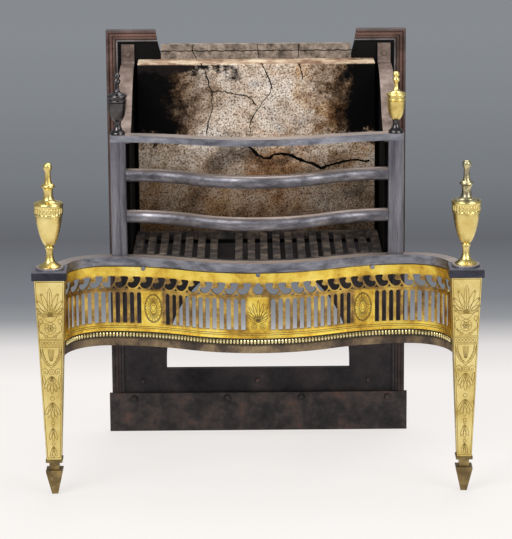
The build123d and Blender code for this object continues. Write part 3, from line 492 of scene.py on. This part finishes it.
def fireclay_of(name):
    """Fired clay slab: pale, gritty and speckled, with soot and painted shade at its top corners, a painted
    shadow under the left of its top edge, and an ochre stain.
    """
    material, tree, shader, place = finish_of(name)
    grit = add(tree, "ShaderNodeTexNoise", Vector=place, Scale=290.0, Detail=5.0, Roughness=0.8)
    body = add(
        tree,
        "ShaderNodeValToRGB",
        {"stops": [
            (0.36, "#1e1815"), (0.42, "#7d6d61"), (0.47, "#cfc1b4"), (0.54, "#f3e9de"), (0.7, "#fffdf8"),
        ]},
        Fac=(grit, "Fac"),
    )
    clouds = add(tree, "ShaderNodeTexNoise", Vector=place, Scale=14.0, Detail=7.0, Roughness=0.72)
    shade = add(
        tree,
        "ShaderNodeValToRGB",
        {"stops": [(0.32, "#6a5440"), (0.42, "#b09a84"), (0.50, "#eee2d4"), (0.62, "#ffffff")]},
        Fac=(clouds, "Fac"),
    )
    axes = add(tree, "ShaderNodeSeparateXYZ", Vector=place)
    ragged = add(tree, "ShaderNodeTexNoise", Vector=place, Scale=38.0, Detail=7.0, Roughness=0.72)
    wander = add(tree, "ShaderNodeMapRange", Value=(ragged, "Fac"), To_Min=-0.085, To_Max=0.085)

    def edge_mask(value, low, high, most=1.0):
        """A ragged mask that rises where the value passes from low to high."""
        moved = add(tree, "ShaderNodeMath", {"operation": "ADD"}, i0=value, i1=(wander, "Result"))
        return add(
            tree, "ShaderNodeMapRange", {"interpolation_type": "SMOOTHSTEP"},
            Value=(moved, "Value"), From_Min=low, From_Max=high, To_Max=most,
        ), "Result"

    def both(one, other):
        """The product of two masks."""
        return add(tree, "ShaderNodeMath", {"operation": "MULTIPLY"}, i0=one, i1=other), "Value"

    def tint(base, mask, colour, way="MULTIPLY"):
        """The base with a colour laid over it where the mask is."""
        return add(
            tree, "ShaderNodeMix", {"data_type": "RGBA", "blend_type": way}, i0=mask, i6=base, i7=colour
        ), 2

    drift = add(
        tree, "ShaderNodeTexNoise", Vector=place, Scale=11.0, Detail=5.0, Roughness=0.6, Distortion=0.6
    )
    hue = add(
        tree, "ShaderNodeValToRGB",
        {"stops": [(0.34, "#a9adb3"), (0.45, "#f4f2f0"), (0.55, "#ffffff"), (0.66, "#e8cfae")]},
        Fac=(drift, "Fac"),
    )
    # Darker towards the fire bed, with an ochre stain near the middle
    colour = tint((body, "Color"), 0.85, (shade, "Color"))
    colour = tint(colour, 0.9, (hue, "Color"))
    colour = tint(colour, edge_mask((axes, "Z"), 0.60, 0.50, 0.85), srgb("#aca093"))
    colour = tint(colour, edge_mask((axes, "Z"), 0.47, 0.42, 0.7), srgb("#9c8b7a"))
    spot = add(
        tree, "ShaderNodeVectorMath", {"operation": "DISTANCE"}, i0=place, i1=(0.040, BRICK_FRONT, 0.532)
    )
    colour = tint(colour, edge_mask((spot, "Value"), 0.085, 0.015, 0.8), srgb("#dfb88a"))
    # Soot and painted shade on both sides of the slab's upper half
    middle = add(tree, "ShaderNodeMath", {"operation": "SUBTRACT"}, i0=(axes, "X"), i1=0.004)
    across = add(tree, "ShaderNodeMath", {"operation": "ABSOLUTE"}, i0=(middle, "Value"))
    high = edge_mask((axes, "Z"), 0.575, 0.600)
    colour = tint(colour, both(edge_mask((across, "Value"), 0.070, 0.150), high), srgb("#93806c"))
    colour = tint(colour, both(edge_mask((across, "Value"), 0.122, 0.172), high), srgb("#060505"), "MIX")
    # A black band under the left part of the top edge, on the upright face only: a painted shadow under the
    # ledge, with some soot
    left = add(tree, "ShaderNodeMath", {"operation": "MULTIPLY"}, i0=(axes, "X"), i1=-1.0)
    lip_shadow_band = both(edge_mask((axes, "Z"), 0.700, 0.722), edge_mask((left, "Value"), 0.03, 0.07))
    surface = add(tree, "ShaderNodeNewGeometry")
    facing = add(tree, "ShaderNodeSeparateXYZ", Vector=(surface, "Normal"))
    upright = add(tree, "ShaderNodeMapRange", Value=(facing, "Z"), From_Min=0.7, From_Max=0.3)
    colour = tint(colour, both(lip_shadow_band, (upright, "Result")), srgb("#1d1816"), "MIX")
    # The top face, browned
    top = add(tree, "ShaderNodeMapRange", Value=(facing, "Z"), From_Min=0.5, From_Max=0.9)
    ledge = add(
        tree, "ShaderNodeValToRGB",
        {"stops": [(0.38, "#6f5444"), (0.47, "#9c8069"), (0.55, "#c9b59a"), (0.68, "#e2d2b8")]},
        Fac=(clouds, "Fac"),
    )
    colour = tint(colour, (top, "Result"), (ledge, "Color"), "MIX")
    tree.links.new(colour[0].outputs[colour[1]], shader.inputs["Base Color"])
    shader.inputs["Roughness"].default_value = 0.92
    shader.inputs["Specular IOR Level"].default_value = 0.08
    relief = add(tree, "ShaderNodeBump", Height=(grit, "Fac"), Strength=0.9, Distance=0.0015)
    tree.links.new(relief.outputs["Normal"], shader.inputs["Normal"])
    return material


# Fireclay, moulded and fired: matt, pale and gritty, burnt and sooty where the fire licked it, with painted
# shade among the soot at the top corners and a painted shadow under the ledge
fireclay = fireclay_of("fired_clay")
# The top tile, greyer and browner
tile_clay = worn_metal(
    "smoked_clay", [(0.32, "#3a312a"), (0.44, "#6b5f54"), (0.55, "#8d8074"), (0.72, "#b0a294")],
    13, (0.85, 0.95), 0.0, 1.0, 2.0,
)

# The finish of every node
node_finishes = {
    "back_plate": plate_iron,
    "foot_plate": cast_iron,
    "foot_plate_bolts": cast_iron,
    "plate_rivets": cast_iron,
    "stay_rivets": rusty_iron,
    "fret_screws": steel,
    "fireback": fireclay,
    "top_tile": tile_clay,
    "rear_shelf": soot_and_shade_black_iron,
    "lower_rail": dark_iron,
    "serpentine_rail": steel,
    "top_bar": steel,
    "upper_round_bar": bar_steel,
    "lower_round_bar": bar_steel,
    "bottom_grid": burnt_iron,
}
for side in ("left", "right"):
    node_finishes[side + "_cheek"] = soot_and_shade_black_iron
    node_finishes[side + "_stay"] = rusty_iron
    node_finishes[side + "_upright"] = drawn_steel
    node_finishes[side + "_bearer"] = dark_iron
    node_finishes[side + "_leg_cap"] = cap_iron
    node_finishes[side + "_leg_casing"] = brass
    node_finishes[side + "_leg_core"] = rusty_iron
    node_finishes[side + "_foot"] = brown_iron
    node_finishes[side + "_urn_washer"] = steel
    node_finishes[side + "_urn_stud"] = rusty_iron
    node_finishes[side + "_small_urn_stud"] = rusty_iron
for name, finish in node_finishes.items():
    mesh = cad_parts[name].data
    mesh.materials.clear()
    mesh.materials.append(finish)


# Urns, turned and fluted

# Profiles, as (radius, height) in metres
urn_body_profile = [
    (0.0, 0.0), (0.0196, 0.0), (0.0198, 0.0016), (0.0172, 0.0034), (0.0112, 0.0072), (0.0080, 0.013),
    (0.0064, 0.021), (0.0060, 0.027), (0.0064, 0.0315), (0.0081, 0.0335), (0.0083, 0.0350),
    (0.0079, 0.0365), (0.0066, 0.0375), (0.0090, 0.0395), (0.0117, 0.0435), (0.0148, 0.0505),
    (0.0175, 0.0590), (0.0200, 0.0690), (0.0222, 0.0800), (0.0238, 0.0920), (0.0236, 0.0930),
    (0.0252, 0.0940), (0.0254, 0.0950), (0.0246, 0.0965), (0.0246, 0.0990), (0.0246, 0.1060),
    (0.0246, 0.1075), (0.0256, 0.1085), (0.0262, 0.1100), (0.0262, 0.1135), (0.0256, 0.1150),
    (0.0, 0.1150),
]
urn_cover_profile = [
    (0.0, 0.0), (0.0236, 0.0), (0.0236, 0.0008), (0.0226, 0.0008), (0.0224, 0.0018), (0.0160, 0.0028),
    (0.0112, 0.0050), (0.0094, 0.0092), (0.0086, 0.0130), (0.0080, 0.0190), (0.0086, 0.0250),
    (0.0105, 0.0280), (0.0122, 0.0292), (0.0123, 0.0315), (0.0108, 0.0335), (0.0074, 0.0350),
    (0.0060, 0.0400), (0.0053, 0.0480), (0.0050, 0.0550), (0.0052, 0.0580), (0.0068, 0.0600),
    (0.0077, 0.0630), (0.0078, 0.0660), (0.0070, 0.0692), (0.0050, 0.0712), (0.0025, 0.0720),
    (0.0, 0.0720),
]
small_foot_profile = [
    (0.0, 0.0), (0.0134, 0.0), (0.0134, 0.0038), (0.0120, 0.0052), (0.0085, 0.0085), (0.0064, 0.0135),
    (0.0058, 0.0180), (0.0062, 0.0225), (0.0066, 0.0240), (0.0, 0.0240),
]
small_body_profile = [
    (0.0, 0.0), (0.0066, 0.0), (0.0088, 0.0020), (0.0120, 0.0075), (0.0140, 0.0140), (0.0155, 0.0225),
    (0.0163, 0.0340), (0.0152, 0.0348), (0.0170, 0.0360), (0.0174, 0.0376), (0.0168, 0.0390),
    (0.0154, 0.0398), (0.0154, 0.0424), (0.0172, 0.0434), (0.0178, 0.0452), (0.0174, 0.0474),
    (0.0164, 0.0480), (0.0, 0.0480),
]
small_cover_profile = [
    (0.0, 0.0), (0.0146, 0.0), (0.0146, 0.0010), (0.0112, 0.0022), (0.0068, 0.0042), (0.0046, 0.0080),
    (0.0038, 0.0140), (0.0036, 0.0195), (0.0055, 0.0212), (0.0070, 0.0240), (0.0066, 0.0268),
    (0.0042, 0.0288), (0.0040, 0.0300), (0.0056, 0.0312), (0.0065, 0.0335), (0.0060, 0.0362),
    (0.0042, 0.0382), (0.0018, 0.0390), (0.0, 0.0390),
]
for side, sign in (("left", -1), ("right", 1)):
    shape = bmesh.new()
    turned(shape, (sign * LEG_X, LEG_Y, URN_FOOT_Z), urn_body_profile, 144, [(0.0985, 0.1065, 24, 0.0011)])
    piece(side + "_large_urn_body", shape, brass, (side + "_urn_body",), sharp=50)
    shape = bmesh.new()
    turned(shape, (sign * LEG_X, LEG_Y, URN_COVER_Z), urn_cover_profile, 64)
    cover_finish = brass if side == "left" else grey_brass
    piece(side + "_large_urn_cover", shape, cover_finish, (side + "_urn_cover",), sharp=50)
    small_finish, small_slot = (dark_steel, "urn_steel") if side == "left" else (brass, "brass")
    for part, height, profile, finish, slot in (
        ("foot", 0.637, small_foot_profile, dark_steel, "urn_steel"),
        ("body", 0.661, small_body_profile, small_finish, small_slot),
        ("cover", 0.709, small_cover_profile, small_finish, small_slot),
    ):
        shape = bmesh.new()
        turned(shape, (sign * SMALL_URN_X, SMALL_URN_Y, height), profile, 48)
        name = f"{side}_small_urn_{part}"
        piece(name + "_turned", shape, finish, (name,), sharp=50)


# Fret, pierced flat, then bent to the front

# Heights, set-backs of its two faces, and the half lengths of its edges
FRET_FOOT, FRET_TOP, FRET_FACE, FRET_BACK = 0.2775, 0.3972, 0.003, 0.006
FRET_END_TOP, FRET_END_FOOT = 0.3915, 0.3970
# Two bays of arched slots on each side, with a panel between them and one in the middle
SLOTS_IN_BAY, BAY_STARTS = 12, (0.0205, 0.2185)
SLOT_PITCH, SLOT_HALF = 0.157 / SLOTS_IN_BAY, 0.0041
SLOT_FOOT, SLOT_TOP = 0.2925, 0.3505
PANEL_X, PATERA_Z = 0.198, 0.3215
# The running wave above the slots
SCROLLS_EACH_SIDE = 16
SCROLL_PITCH, SCROLL_FOOT, SCROLL_START = 0.0232, 0.3570, 0.0118
# Outlines in millimetres for a wave of 21.2 mm
WAVE = 21.2
scroll_opening = rounded([
    (7.4, 22.8), (21.2, 22.8), (20.2, 16.4), (17.6, 9.4), (13.6, 3.6), (8.4, 0.4), (3.0, 1.0),
    (-0.2, 3.6), (-1.9, 7.4), (-1.6, 10.4), (0.6, 12.2), (3.4, 11.2), (6.6, 11.8), (8.8, 14.4),
    (8.6, 17.8), (7.0, 20.0),
])
spandrel_opening = [(-6.6, -0.6), (0.2, -0.6), (-3.4, 4.8)]
centre_opening = rounded([
    (-4.4, 22.6), (4.4, 22.6), (4.0, 17.0), (8.8, 15.0), (9.4, 9.0), (6.4, 2.4), (0.0, 0.4),
    (-6.4, 2.4), (-9.4, 9.0), (-8.8, 15.0), (-4.0, 17.0),
])

shape = bmesh.new()
edge_steps = 96
foot_line = [(-FRET_END_FOOT + 2 * FRET_END_FOOT * i / edge_steps, FRET_FOOT) for i in range(edge_steps + 1)]
top_line = [(FRET_END_TOP - 2 * FRET_END_TOP * i / edge_steps, FRET_TOP) for i in range(edge_steps + 1)]
loop(shape, foot_line + top_line, FRET_BACK)
for sign in (-1, 1):
    for start in BAY_STARTS:
        for index in range(SLOTS_IN_BAY):
            middle = sign * (start + (index + 0.5) * SLOT_PITCH)
            spring = SLOT_TOP - SLOT_HALF
            turns = [pi * k / 8 for k in range(9)]
            arch = [(middle + SLOT_HALF * cos(turn), spring + SLOT_HALF * sin(turn)) for turn in turns]
            sill = [(middle - SLOT_HALF, SLOT_FOOT), (middle + SLOT_HALF, SLOT_FOOT)]
            loop(shape, arch + sill, FRET_BACK)
    for index in range(SCROLLS_EACH_SIDE):
        start = SCROLL_START + index * SCROLL_PITCH
        for outline in (scroll_opening, spandrel_opening):
            if index == SCROLLS_EACH_SIDE - 1 and outline is spandrel_opening:
                continue
            points = [
                (sign * (start + (1 - x / WAVE) * SCROLL_PITCH), SCROLL_FOOT + z / 1000) for x, z in outline
            ]
            loop(shape, points, FRET_BACK)
loop(shape, [(x / 1000, SCROLL_FOOT + z / 1000) for x, z in centre_opening], FRET_BACK)
bmesh.ops.triangle_fill(shape, use_beauty=True, use_dissolve=False, edges=shape.edges[:], normal=(0, -1, 0))
cut_across(shape, BEND_STEP)
made = bmesh.ops.extrude_face_region(shape, geom=shape.faces[:])
front = [item for item in made["geom"] if isinstance(item, bmesh.types.BMVert)]
bmesh.ops.translate(shape, vec=(0, FRET_FACE - FRET_BACK, 0), verts=front)
bend(shape)
piece("pierced_fret", shape, fret_brass, ("fret",))

# Fillets, paterae and palmette on the fret's face
shape = bmesh.new()
for low, high, proud in (
    (0.3800, 0.3808, 0.0006),
    (0.3956, 0.3972, 0.0010),
    (0.3532, 0.3544, 0.0007),
    (0.2880, 0.2890, 0.0007),
    (0.2775, 0.2790, 0.0012),
):
    box(shape, (-0.388, FRET_FACE - proud, low), (0.388, FRET_FACE + 0.001, high))
cut_across(shape, BEND_STEP)
for middle in (-PANEL_X, 0.0, PANEL_X):
    for low, high in ((-0.0195, -0.0180), (0.0180, 0.0195)):
        box(shape, (middle + low, FRET_FACE - 0.0008, 0.2920), (middle + high, FRET_FACE + 0.001, 0.3510))
bend(shape)
piece("fret_mouldings", shape, fret_brass)


def on_front(points, closed):
    """A stroke of (along, height) points laid on the fret's face."""
    return [(*along_front(x, FRET_FACE), z) for x, z in points], closed


def oval(x, z, rx, rz, count=28):
    """Points of an upright oval."""
    turns = [2 * pi * k / count for k in range(count)]
    return [(x + rx * cos(turn), z + rz * sin(turn)) for turn in turns]


# Oval paterae with rays and a rim of dots
RAYS, DOTS = 32, 30
fret_strokes = []
for middle in (-PANEL_X, PANEL_X):
    for rx, rz in ((0.0168, 0.0268), (0.0148, 0.0246), (0.0060, 0.0100), (0.0035, 0.0062)):
        fret_strokes.append(on_front(oval(middle, PATERA_Z, rx, rz), True))
    for k in range(RAYS):
        angle = 2 * pi * k / RAYS
        near, far = (0.0066, 0.0108), ((0.0143, 0.0240) if k % 2 else (0.0120, 0.0205))
        ray = [(middle + r[0] * cos(angle), PATERA_Z + r[1] * sin(angle)) for r in (near, far)]
        fret_strokes.append(on_front(ray, False))
    for k in range(DOTS):
        angle = 2 * pi * (k + 0.5) / DOTS
        x, z = middle + 0.0158 * cos(angle), PATERA_Z + 0.0257 * sin(angle)
        fret_strokes.append(on_front(oval(x, z, 0.0008, 0.0008, 6), True))
# Palmette of nine blades in the middle, on a pair of volutes
BLADES, BLADE_FOOT = 9, 0.3085
for k in range(BLADES):
    angle = radians(-64 + 16 * k)
    length = 0.040 - 0.015 * abs(angle)
    blade = []
    for step in range(12):
        turn = 2 * pi * step / 12
        along, aside = length * (0.5 - 0.5 * cos(turn)), 0.0023 * sin(turn)
        blade.append((
            along * sin(angle) + aside * cos(angle), BLADE_FOOT + along * cos(angle) - aside * sin(angle)
        ))
    fret_strokes.append(on_front(blade, True))
for sign in (-1, 1):
    fret_strokes.append(on_front(oval(sign * 0.0075, 0.2995, 0.0048, 0.0048, 16), True))
    fret_strokes.append(on_front(oval(sign * 0.0075, 0.2995, 0.0022, 0.0022, 10), True))
    stalk = [(0, 0.3070), (sign * 0.006, 0.3055), (sign * 0.013, 0.3085), (sign * 0.0165, 0.3170)]
    fret_strokes.append(on_front(stalk, False))
# A line above the slots, and two on the foot strip
ENGRAVED_HALF = 0.384
for height in (0.3542, 0.2868, 0.2835):
    run = [(-ENGRAVED_HALF + BEND_STEP * k, height) for k in range(97)]
    fret_strokes.append(on_front(run, False))
lines("fret_engraving", fret_strokes, 0.00050, fret_line)

# Beaded moulding below the fret
shape = bmesh.new()
box(shape, (-0.3965, 0.0035, 0.2640), (0.3965, 0.0060, 0.2765))
cut_across(shape, BEND_STEP)
bend(shape)
piece("moulding_strip", shape, dark_brass, ("bead_moulding",))
BEAD_PITCH, BEADS_EACH_SIDE = 0.0062, 62
shape = bmesh.new()
for index in range(-BEADS_EACH_SIDE, BEADS_EACH_SIDE + 1):
    dome(shape, (index * BEAD_PITCH, 0.0036, 0.2706), (0.0026, 0.0026, 0.0042), 8)
bend(shape)
piece("moulding_beads", shape, bead_brass)


# Engraving on the legs


def ring(x, z, rx, rz, count=16):
    """A closed oval stroke on a leg."""
    turns = [2 * pi * k / count for k in range(count)]
    return [(x + rx * cos(turn), 0.0, z + rz * sin(turn)) for turn in turns], True


def leaf(x, z, length, width, angle, count=14):
    """Outline of a leaf that springs from a point at an angle from upright."""
    points = []
    for k in range(count):
        turn = 2 * pi * k / count
        along, aside = length * (0.5 - 0.5 * cos(turn)), width / 2 * sin(turn)
        points.append((
            x + along * sin(angle) + aside * cos(angle), 0.0, z + along * cos(angle) - aside * sin(angle)
        ))
    return points, True


def casing_half(z):
    """Half the width of a casing at a height."""
    share = (z - CASING_FOOT) / (CASING_TOP - CASING_FOOT)
    return CASING_FOOT_HALF + share * (CASING_TOP_HALF - CASING_FOOT_HALF)


def arc(x, z, rx, rz, start, end, count=10):
    """An open stroke along part of an oval, between two angles in degrees."""
    turns = [radians(start + (end - start) * k / count) for k in range(count + 1)]
    return [(x + rx * cos(turn), 0.0, z + rz * sin(turn)) for turn in turns], False


def leg_strokes():
    """The engraving of a leg's front, in millimetres from its axis, by height."""
    strokes = []
    # Palmette, its leaves curled at the tips, in a cup
    for turn, length, width in ((0, 52, 9), (19, 44, 8), (38, 36, 7), (57, 27, 6), (76, 20, 5)):
        for sign in (-1, 1) if turn else (1,):
            angle = radians(sign * turn)
            strokes.append(leaf(0, 335, length, width, angle))
            if turn:
                tip = length - 1.5
                strokes.append(ring(tip * sin(angle) + sign * 0.8, 335 + tip * cos(angle), 2.0, 2.0, 8))
    strokes.append(([(0, 0, 352), (0, 0, 380)], False))
    for sign in (-1, 1):
        cup = ((0, 324), (7, 327), (12, 334), (16, 343), (20, 347), (21, 342))
        strokes.append(([(sign * x, 0, z) for x, z in cup], False))
        # Side scrolls and garlands round the roundel
        strokes.append(arc(sign * 13, 313, 7, 10, 60, -120 if sign > 0 else 300))
        strokes.append(ring(sign * 17, 326, 3.2, 4.5, 10))
        strokes.append(arc(0, 312, 17, 16, -90, -90 + sign * 75))
        strokes.append(ring(sign * 8, 298, 3.0, 2.6, 10))
    strokes.append(ring(0, 313, 10, 11))
    strokes.append(ring(0, 313, 5, 5.5, 12))
    for k in range(6):
        strokes.append(leaf(0, 313, 8.5, 3, 2 * pi * (k + 0.5) / 6, 8))
    # Band of ovals between double lines
    for z in (293, 290.5, 280.5, 278):
        reach = casing_half(z / 1000) * 1000 - 3
        strokes.append(([(-reach, 0, z), (reach, 0, z)], False))
    for k in range(6):
        strokes.append(ring(-15 + 6 * k, 285.5, 2.4, 2.6, 10))
    # Shield and swags
    for sign in (-1, 1):
        for edge in (((15, 277), (13, 262), (8, 250), (0, 243)), ((19, 277), (17, 260), (10, 247), (0, 239))):
            strokes.append(([(sign * x, 0, z) for x, z in edge], False))
        for k in range(6):
            share = (k + 0.5) / 6
            strokes.append(ring(sign * (17 - 14 * share ** 1.6), 274 - 31 * share, 1.7, 2.2, 8))
        for k in range(3):
            fold = ((2.5 * k, 274), (2 * k, 262), (k, 252))
            strokes.append(([(sign * x, 0, z) for x, z in fold], False))
        # Volutes
        strokes.append(arc(sign * 12, 232, 5.5, 6, 20 if sign > 0 else 160, 250 if sign > 0 else -70, 12))
        strokes.append(ring(sign * 12, 231, 2.2, 2.4, 8))
        strokes.append(leaf(sign * 15, 226, 18, 4, radians(180 + sign * 8)))
    strokes.append(ring(0, 232, 5.5, 5.5, 12))
    strokes.append(ring(0, 232, 2.5, 2.5, 8))
    # Drops of bellflowers with rings between them
    for top, length, spread, count in ((224, 33, 15, 5), (175, 33, 15, 5), (127, 26, 17, 3), (92, 22, 16, 3)):
        for k in range(count):
            angle = (k - (count - 1) / 2) * spread
            reach = length * (1 - 0.006 * abs(angle))
            strokes.append(leaf(0, top, reach, length * 0.19, pi + radians(angle)))
    for z, radius in ((182, 3.6), (136, 3.0), (131, 2.2), (96, 2.6)):
        strokes.append(ring(0, z, radius, radius, 10))
    # Border lines, last in the list
    inset, low, high = 2.0, 70, 398
    for sign in (-1, 1):
        ends = [(sign * (casing_half(z / 1000) * 1000 - inset), 0, z) for z in (low, high)]
        strokes.append((ends, False))
    for z in (low, high):
        reach = casing_half(z / 1000) * 1000 - inset
        strokes.append(([(-reach, 0, z), (reach, 0, z)], False))
    return strokes


def on_leg(strokes, sign, quarter):
    """Strokes laid on one face of a leg; the quarter turns them round its axis."""
    turn = Matrix.Rotation(quarter * pi / 2, 3, "Z")
    laid = []
    for points, closed in strokes:
        moved = []
        for x, out, z in points:
            height = z / 1000
            spot = turn @ Vector((x / 1000, -casing_half(height), 0))
            moved.append((sign * LEG_X + spot.x, LEG_Y + spot.y, height))
        laid.append((moved, closed))
    return laid


front_strokes = leg_strokes()
border_strokes = front_strokes[-4:]
for side, sign in (("left", -1), ("right", 1)):
    strokes = on_leg(front_strokes, sign, 0)
    for quarter in (1, 2, 3):
        strokes += on_leg(border_strokes, sign, quarter)
    lines(side + "_leg_engraving", strokes, 0.00055, engraved)


# Cracks in the fireback, placed by the photograph on the slab's face


# The column in the middle of the grate, the rows of the slab's and the tile's top edges with their
# heights, and metres to a pixel across and down
MIDDLE_COLUMN = 259
SLAB_ROW, SLAB_TOP, SLAB_ACROSS, SLAB_DOWN = 63, 0.730, 0.001866, 0.001912
TILE_ROW, TILE_TOP, TILE_ACROSS, TILE_DOWN = 43, 0.758, 0.00194, 0.00197


def on_fireback(u, v, width):
    """A point of the slab's face from its place in the photograph, with the crack's width."""
    return (u - MIDDLE_COLUMN) * SLAB_ACROSS, BRICK_FRONT, SLAB_TOP - (v - SLAB_ROW) * SLAB_DOWN, width


def on_tile(u, v, width):
    """The same for the tile's face."""
    return (u - MIDDLE_COLUMN) * TILE_ACROSS, TILE_FRONT, TILE_TOP - (v - TILE_ROW) * TILE_DOWN, width


crack_lines = (
    [(204, 63), (208, 70), (211, 80), (214, 91), (215, 107), (210, 121), (209, 135)],
    [(214, 91), (222, 90), (229, 91), (245, 95), (251, 96), (260, 105)],
    [(265, 63), (270, 74), (274, 86), (273, 94), (261, 107), (253, 121), (252, 135)],
    [(301, 63), (304, 70), (306, 80)],
)
tile_lines = (
    [(158 + 4 * k, 49 + (k * 7 % 5) * 0.25) for k in range(51)],
    [(198, 43), (197, 49), (201, 57)],
    [(260, 43), (261, 50), (262, 57)],
    [(301, 43), (300, 57)],
)
big_crack = [
    (247, 142, 0.5), (251, 146, 1.6), (256, 150, 2.4), (261, 155, 2.2), (266, 157, 1.4), (272, 157, 2.4),
    (277, 153, 1.5), (287, 153, 2.4), (299, 157, 2.6), (311, 162, 1.8), (324, 167, 2.6), (333, 165, 1.6),
    (342, 162, 2.2), (354, 159, 1.4), (365, 161, 1.8), (377, 160, 1.6),
]
# Each stretch of a crack is broken into this many jogs
JOGS = 3
strokes = []
for line in crack_lines:
    jagged = []
    for (ua, va), (ub, vb) in zip(line, line[1:]):
        for k in range(JOGS):
            share = k / JOGS
            u = ua + (ub - ua) * share + rng.uniform(-0.9, 0.9)
            v = va + (vb - va) * share + rng.uniform(-0.9, 0.9)
            jagged.append(on_fireback(u, v, rng.uniform(0.5, 1.2)))
    jagged.append(on_fireback(*line[-1], 0.3))
    strokes.append((jagged, False))
jagged = []
for (ua, va, wa), (ub, vb, wb) in zip(big_crack, big_crack[1:]):
    for k in range(JOGS):
        share = k / JOGS
        u = ua + (ub - ua) * share
        v = va + (vb - va) * share + rng.uniform(-0.8, 0.8)
        jagged.append(on_fireback(u, v, (wa + (wb - wa) * share) * rng.uniform(0.8, 1.25)))
strokes.append((jagged, False))
lines("fireback_cracks", strokes, 0.0013, soot, flat=(BRICK_FRONT, 0.25))
strokes = [([on_tile(u, v, rng.uniform(0.7, 1.2)) for u, v in line], False) for line in tile_lines]
lines("top_tile_cracks", strokes, 0.0010, soot, flat=(TILE_FRONT, 0.25))


# Camera, at the photograph's angle

FOCAL_PIXELS, PHOTO_HEIGHT, SENSOR = 2631, 539, 36
eye = Vector((-0.0125, -4.72495, 1.50275))
forward = Vector((0.01022, 0.97599, -0.21758)).normalized()
roll = radians(0.3)
right = forward.cross(Vector((0, 0, 1))).normalized()
up = right.cross(forward)
rolled_right = cos(roll) * right - sin(roll) * up
rolled_up = sin(roll) * right + cos(roll) * up
camera_data = bpy.data.cameras.new("camera")
camera_data.lens = FOCAL_PIXELS / PHOTO_HEIGHT * SENSOR
camera_data.sensor_width = SENSOR
camera_data.shift_x = -0.04
camera_data.shift_y = -0.08
camera_data.clip_end = 100
camera = bpy.data.objects.new("camera", camera_data)
rotation = Matrix((rolled_right, rolled_up, -forward)).transposed()
camera.matrix_world = Matrix.Translation(eye) @ rotation.to_4x4()
scene.collection.objects.link(camera)
scene.camera = camera


# Floor, one pale sheet that fades to grey far behind the grate; seen by the camera and in reflections it
# glows with painted light

shape = bmesh.new()
bmesh.ops.create_grid(shape, x_segments=1, y_segments=1, size=14)
mesh = bpy.data.meshes.new("floor")
shape.to_mesh(mesh)
shape.free()
floor = bpy.data.objects.new("floor", mesh)
scene.collection.objects.link(floor)
paper = bpy.data.materials.new("pale_paper")
paper.use_nodes = True
tree = paper.node_tree
tree.nodes.clear()
place = add(tree, "ShaderNodeTexCoord")
axes = add(tree, "ShaderNodeSeparateXYZ", Vector=(place, "Object"))
depth = add(tree, "ShaderNodeMapRange", Value=(axes, "Y"), From_Min=0.0, From_Max=6.0)
fade = add(
    tree,
    "ShaderNodeValToRGB",
    {"stops": [
        (0.095, "#f5f1ee"), (0.135, "#e4e0df"), (0.175, "#96989b"), (0.205, "#7f8287"),
        (0.31, "#67696e"), (0.44, "#7d8185"), (0.66, "#8c9094"), (0.9, "#93979b"),
    ]},
    Fac=(depth, "Result"),
)
lit = add(tree, "ShaderNodeBsdfDiffuse", Color=(fade, "Color"))
painted_glow = add(tree, "ShaderNodeEmission", Color=(fade, "Color"), Strength=1.0)
# Painted light: camera and glossy rays see the floor glow
rays = add(tree, "ShaderNodeLightPath")
seen = add(
    tree, "ShaderNodeMath", {"operation": "MAXIMUM"}, i0=(rays, "Is Camera Ray"), i1=(rays, "Is Glossy Ray")
)
share = add(tree, "ShaderNodeMath", {"operation": "MULTIPLY"}, i0=(seen, "Value"), i1=0.75)
shaded = add(tree, "ShaderNodeMixShader", i0=(share, "Value"), i1=(lit, "BSDF"), i2=(painted_glow, "Emission"))
add(tree, "ShaderNodeOutputMaterial", Surface=(shaded, "Shader"))
mesh.materials.append(paper)


# Soft studio light

world = bpy.data.worlds.new("studio")
scene.world = world
world.use_nodes = True
world.node_tree.nodes["Background"].inputs["Color"].default_value = srgb("#b9bcc0")
world.node_tree.nodes["Background"].inputs["Strength"].default_value = 0.55
for name, place, size, power in (
    ("key", (-1.9, -2.4, 2.7), 2.2, 95),
    ("fill", (2.3, -2.2, 1.9), 2.0, 55),
    ("top", (0.2, 0.6, 2.6), 1.8, 40),
):
    lamp = bpy.data.lights.new(name, "AREA")
    lamp.shape = "SQUARE"
    lamp.size = size
    lamp.energy = power
    obj = bpy.data.objects.new(name, lamp)
    obj.location = place
    aim = Vector((0, 0, 0.4)) - Vector(place)
    obj.rotation_euler = aim.to_track_quat("-Z", "Y").to_euler()
    scene.collection.objects.link(obj)

scene.view_settings.view_transform = "Standard"
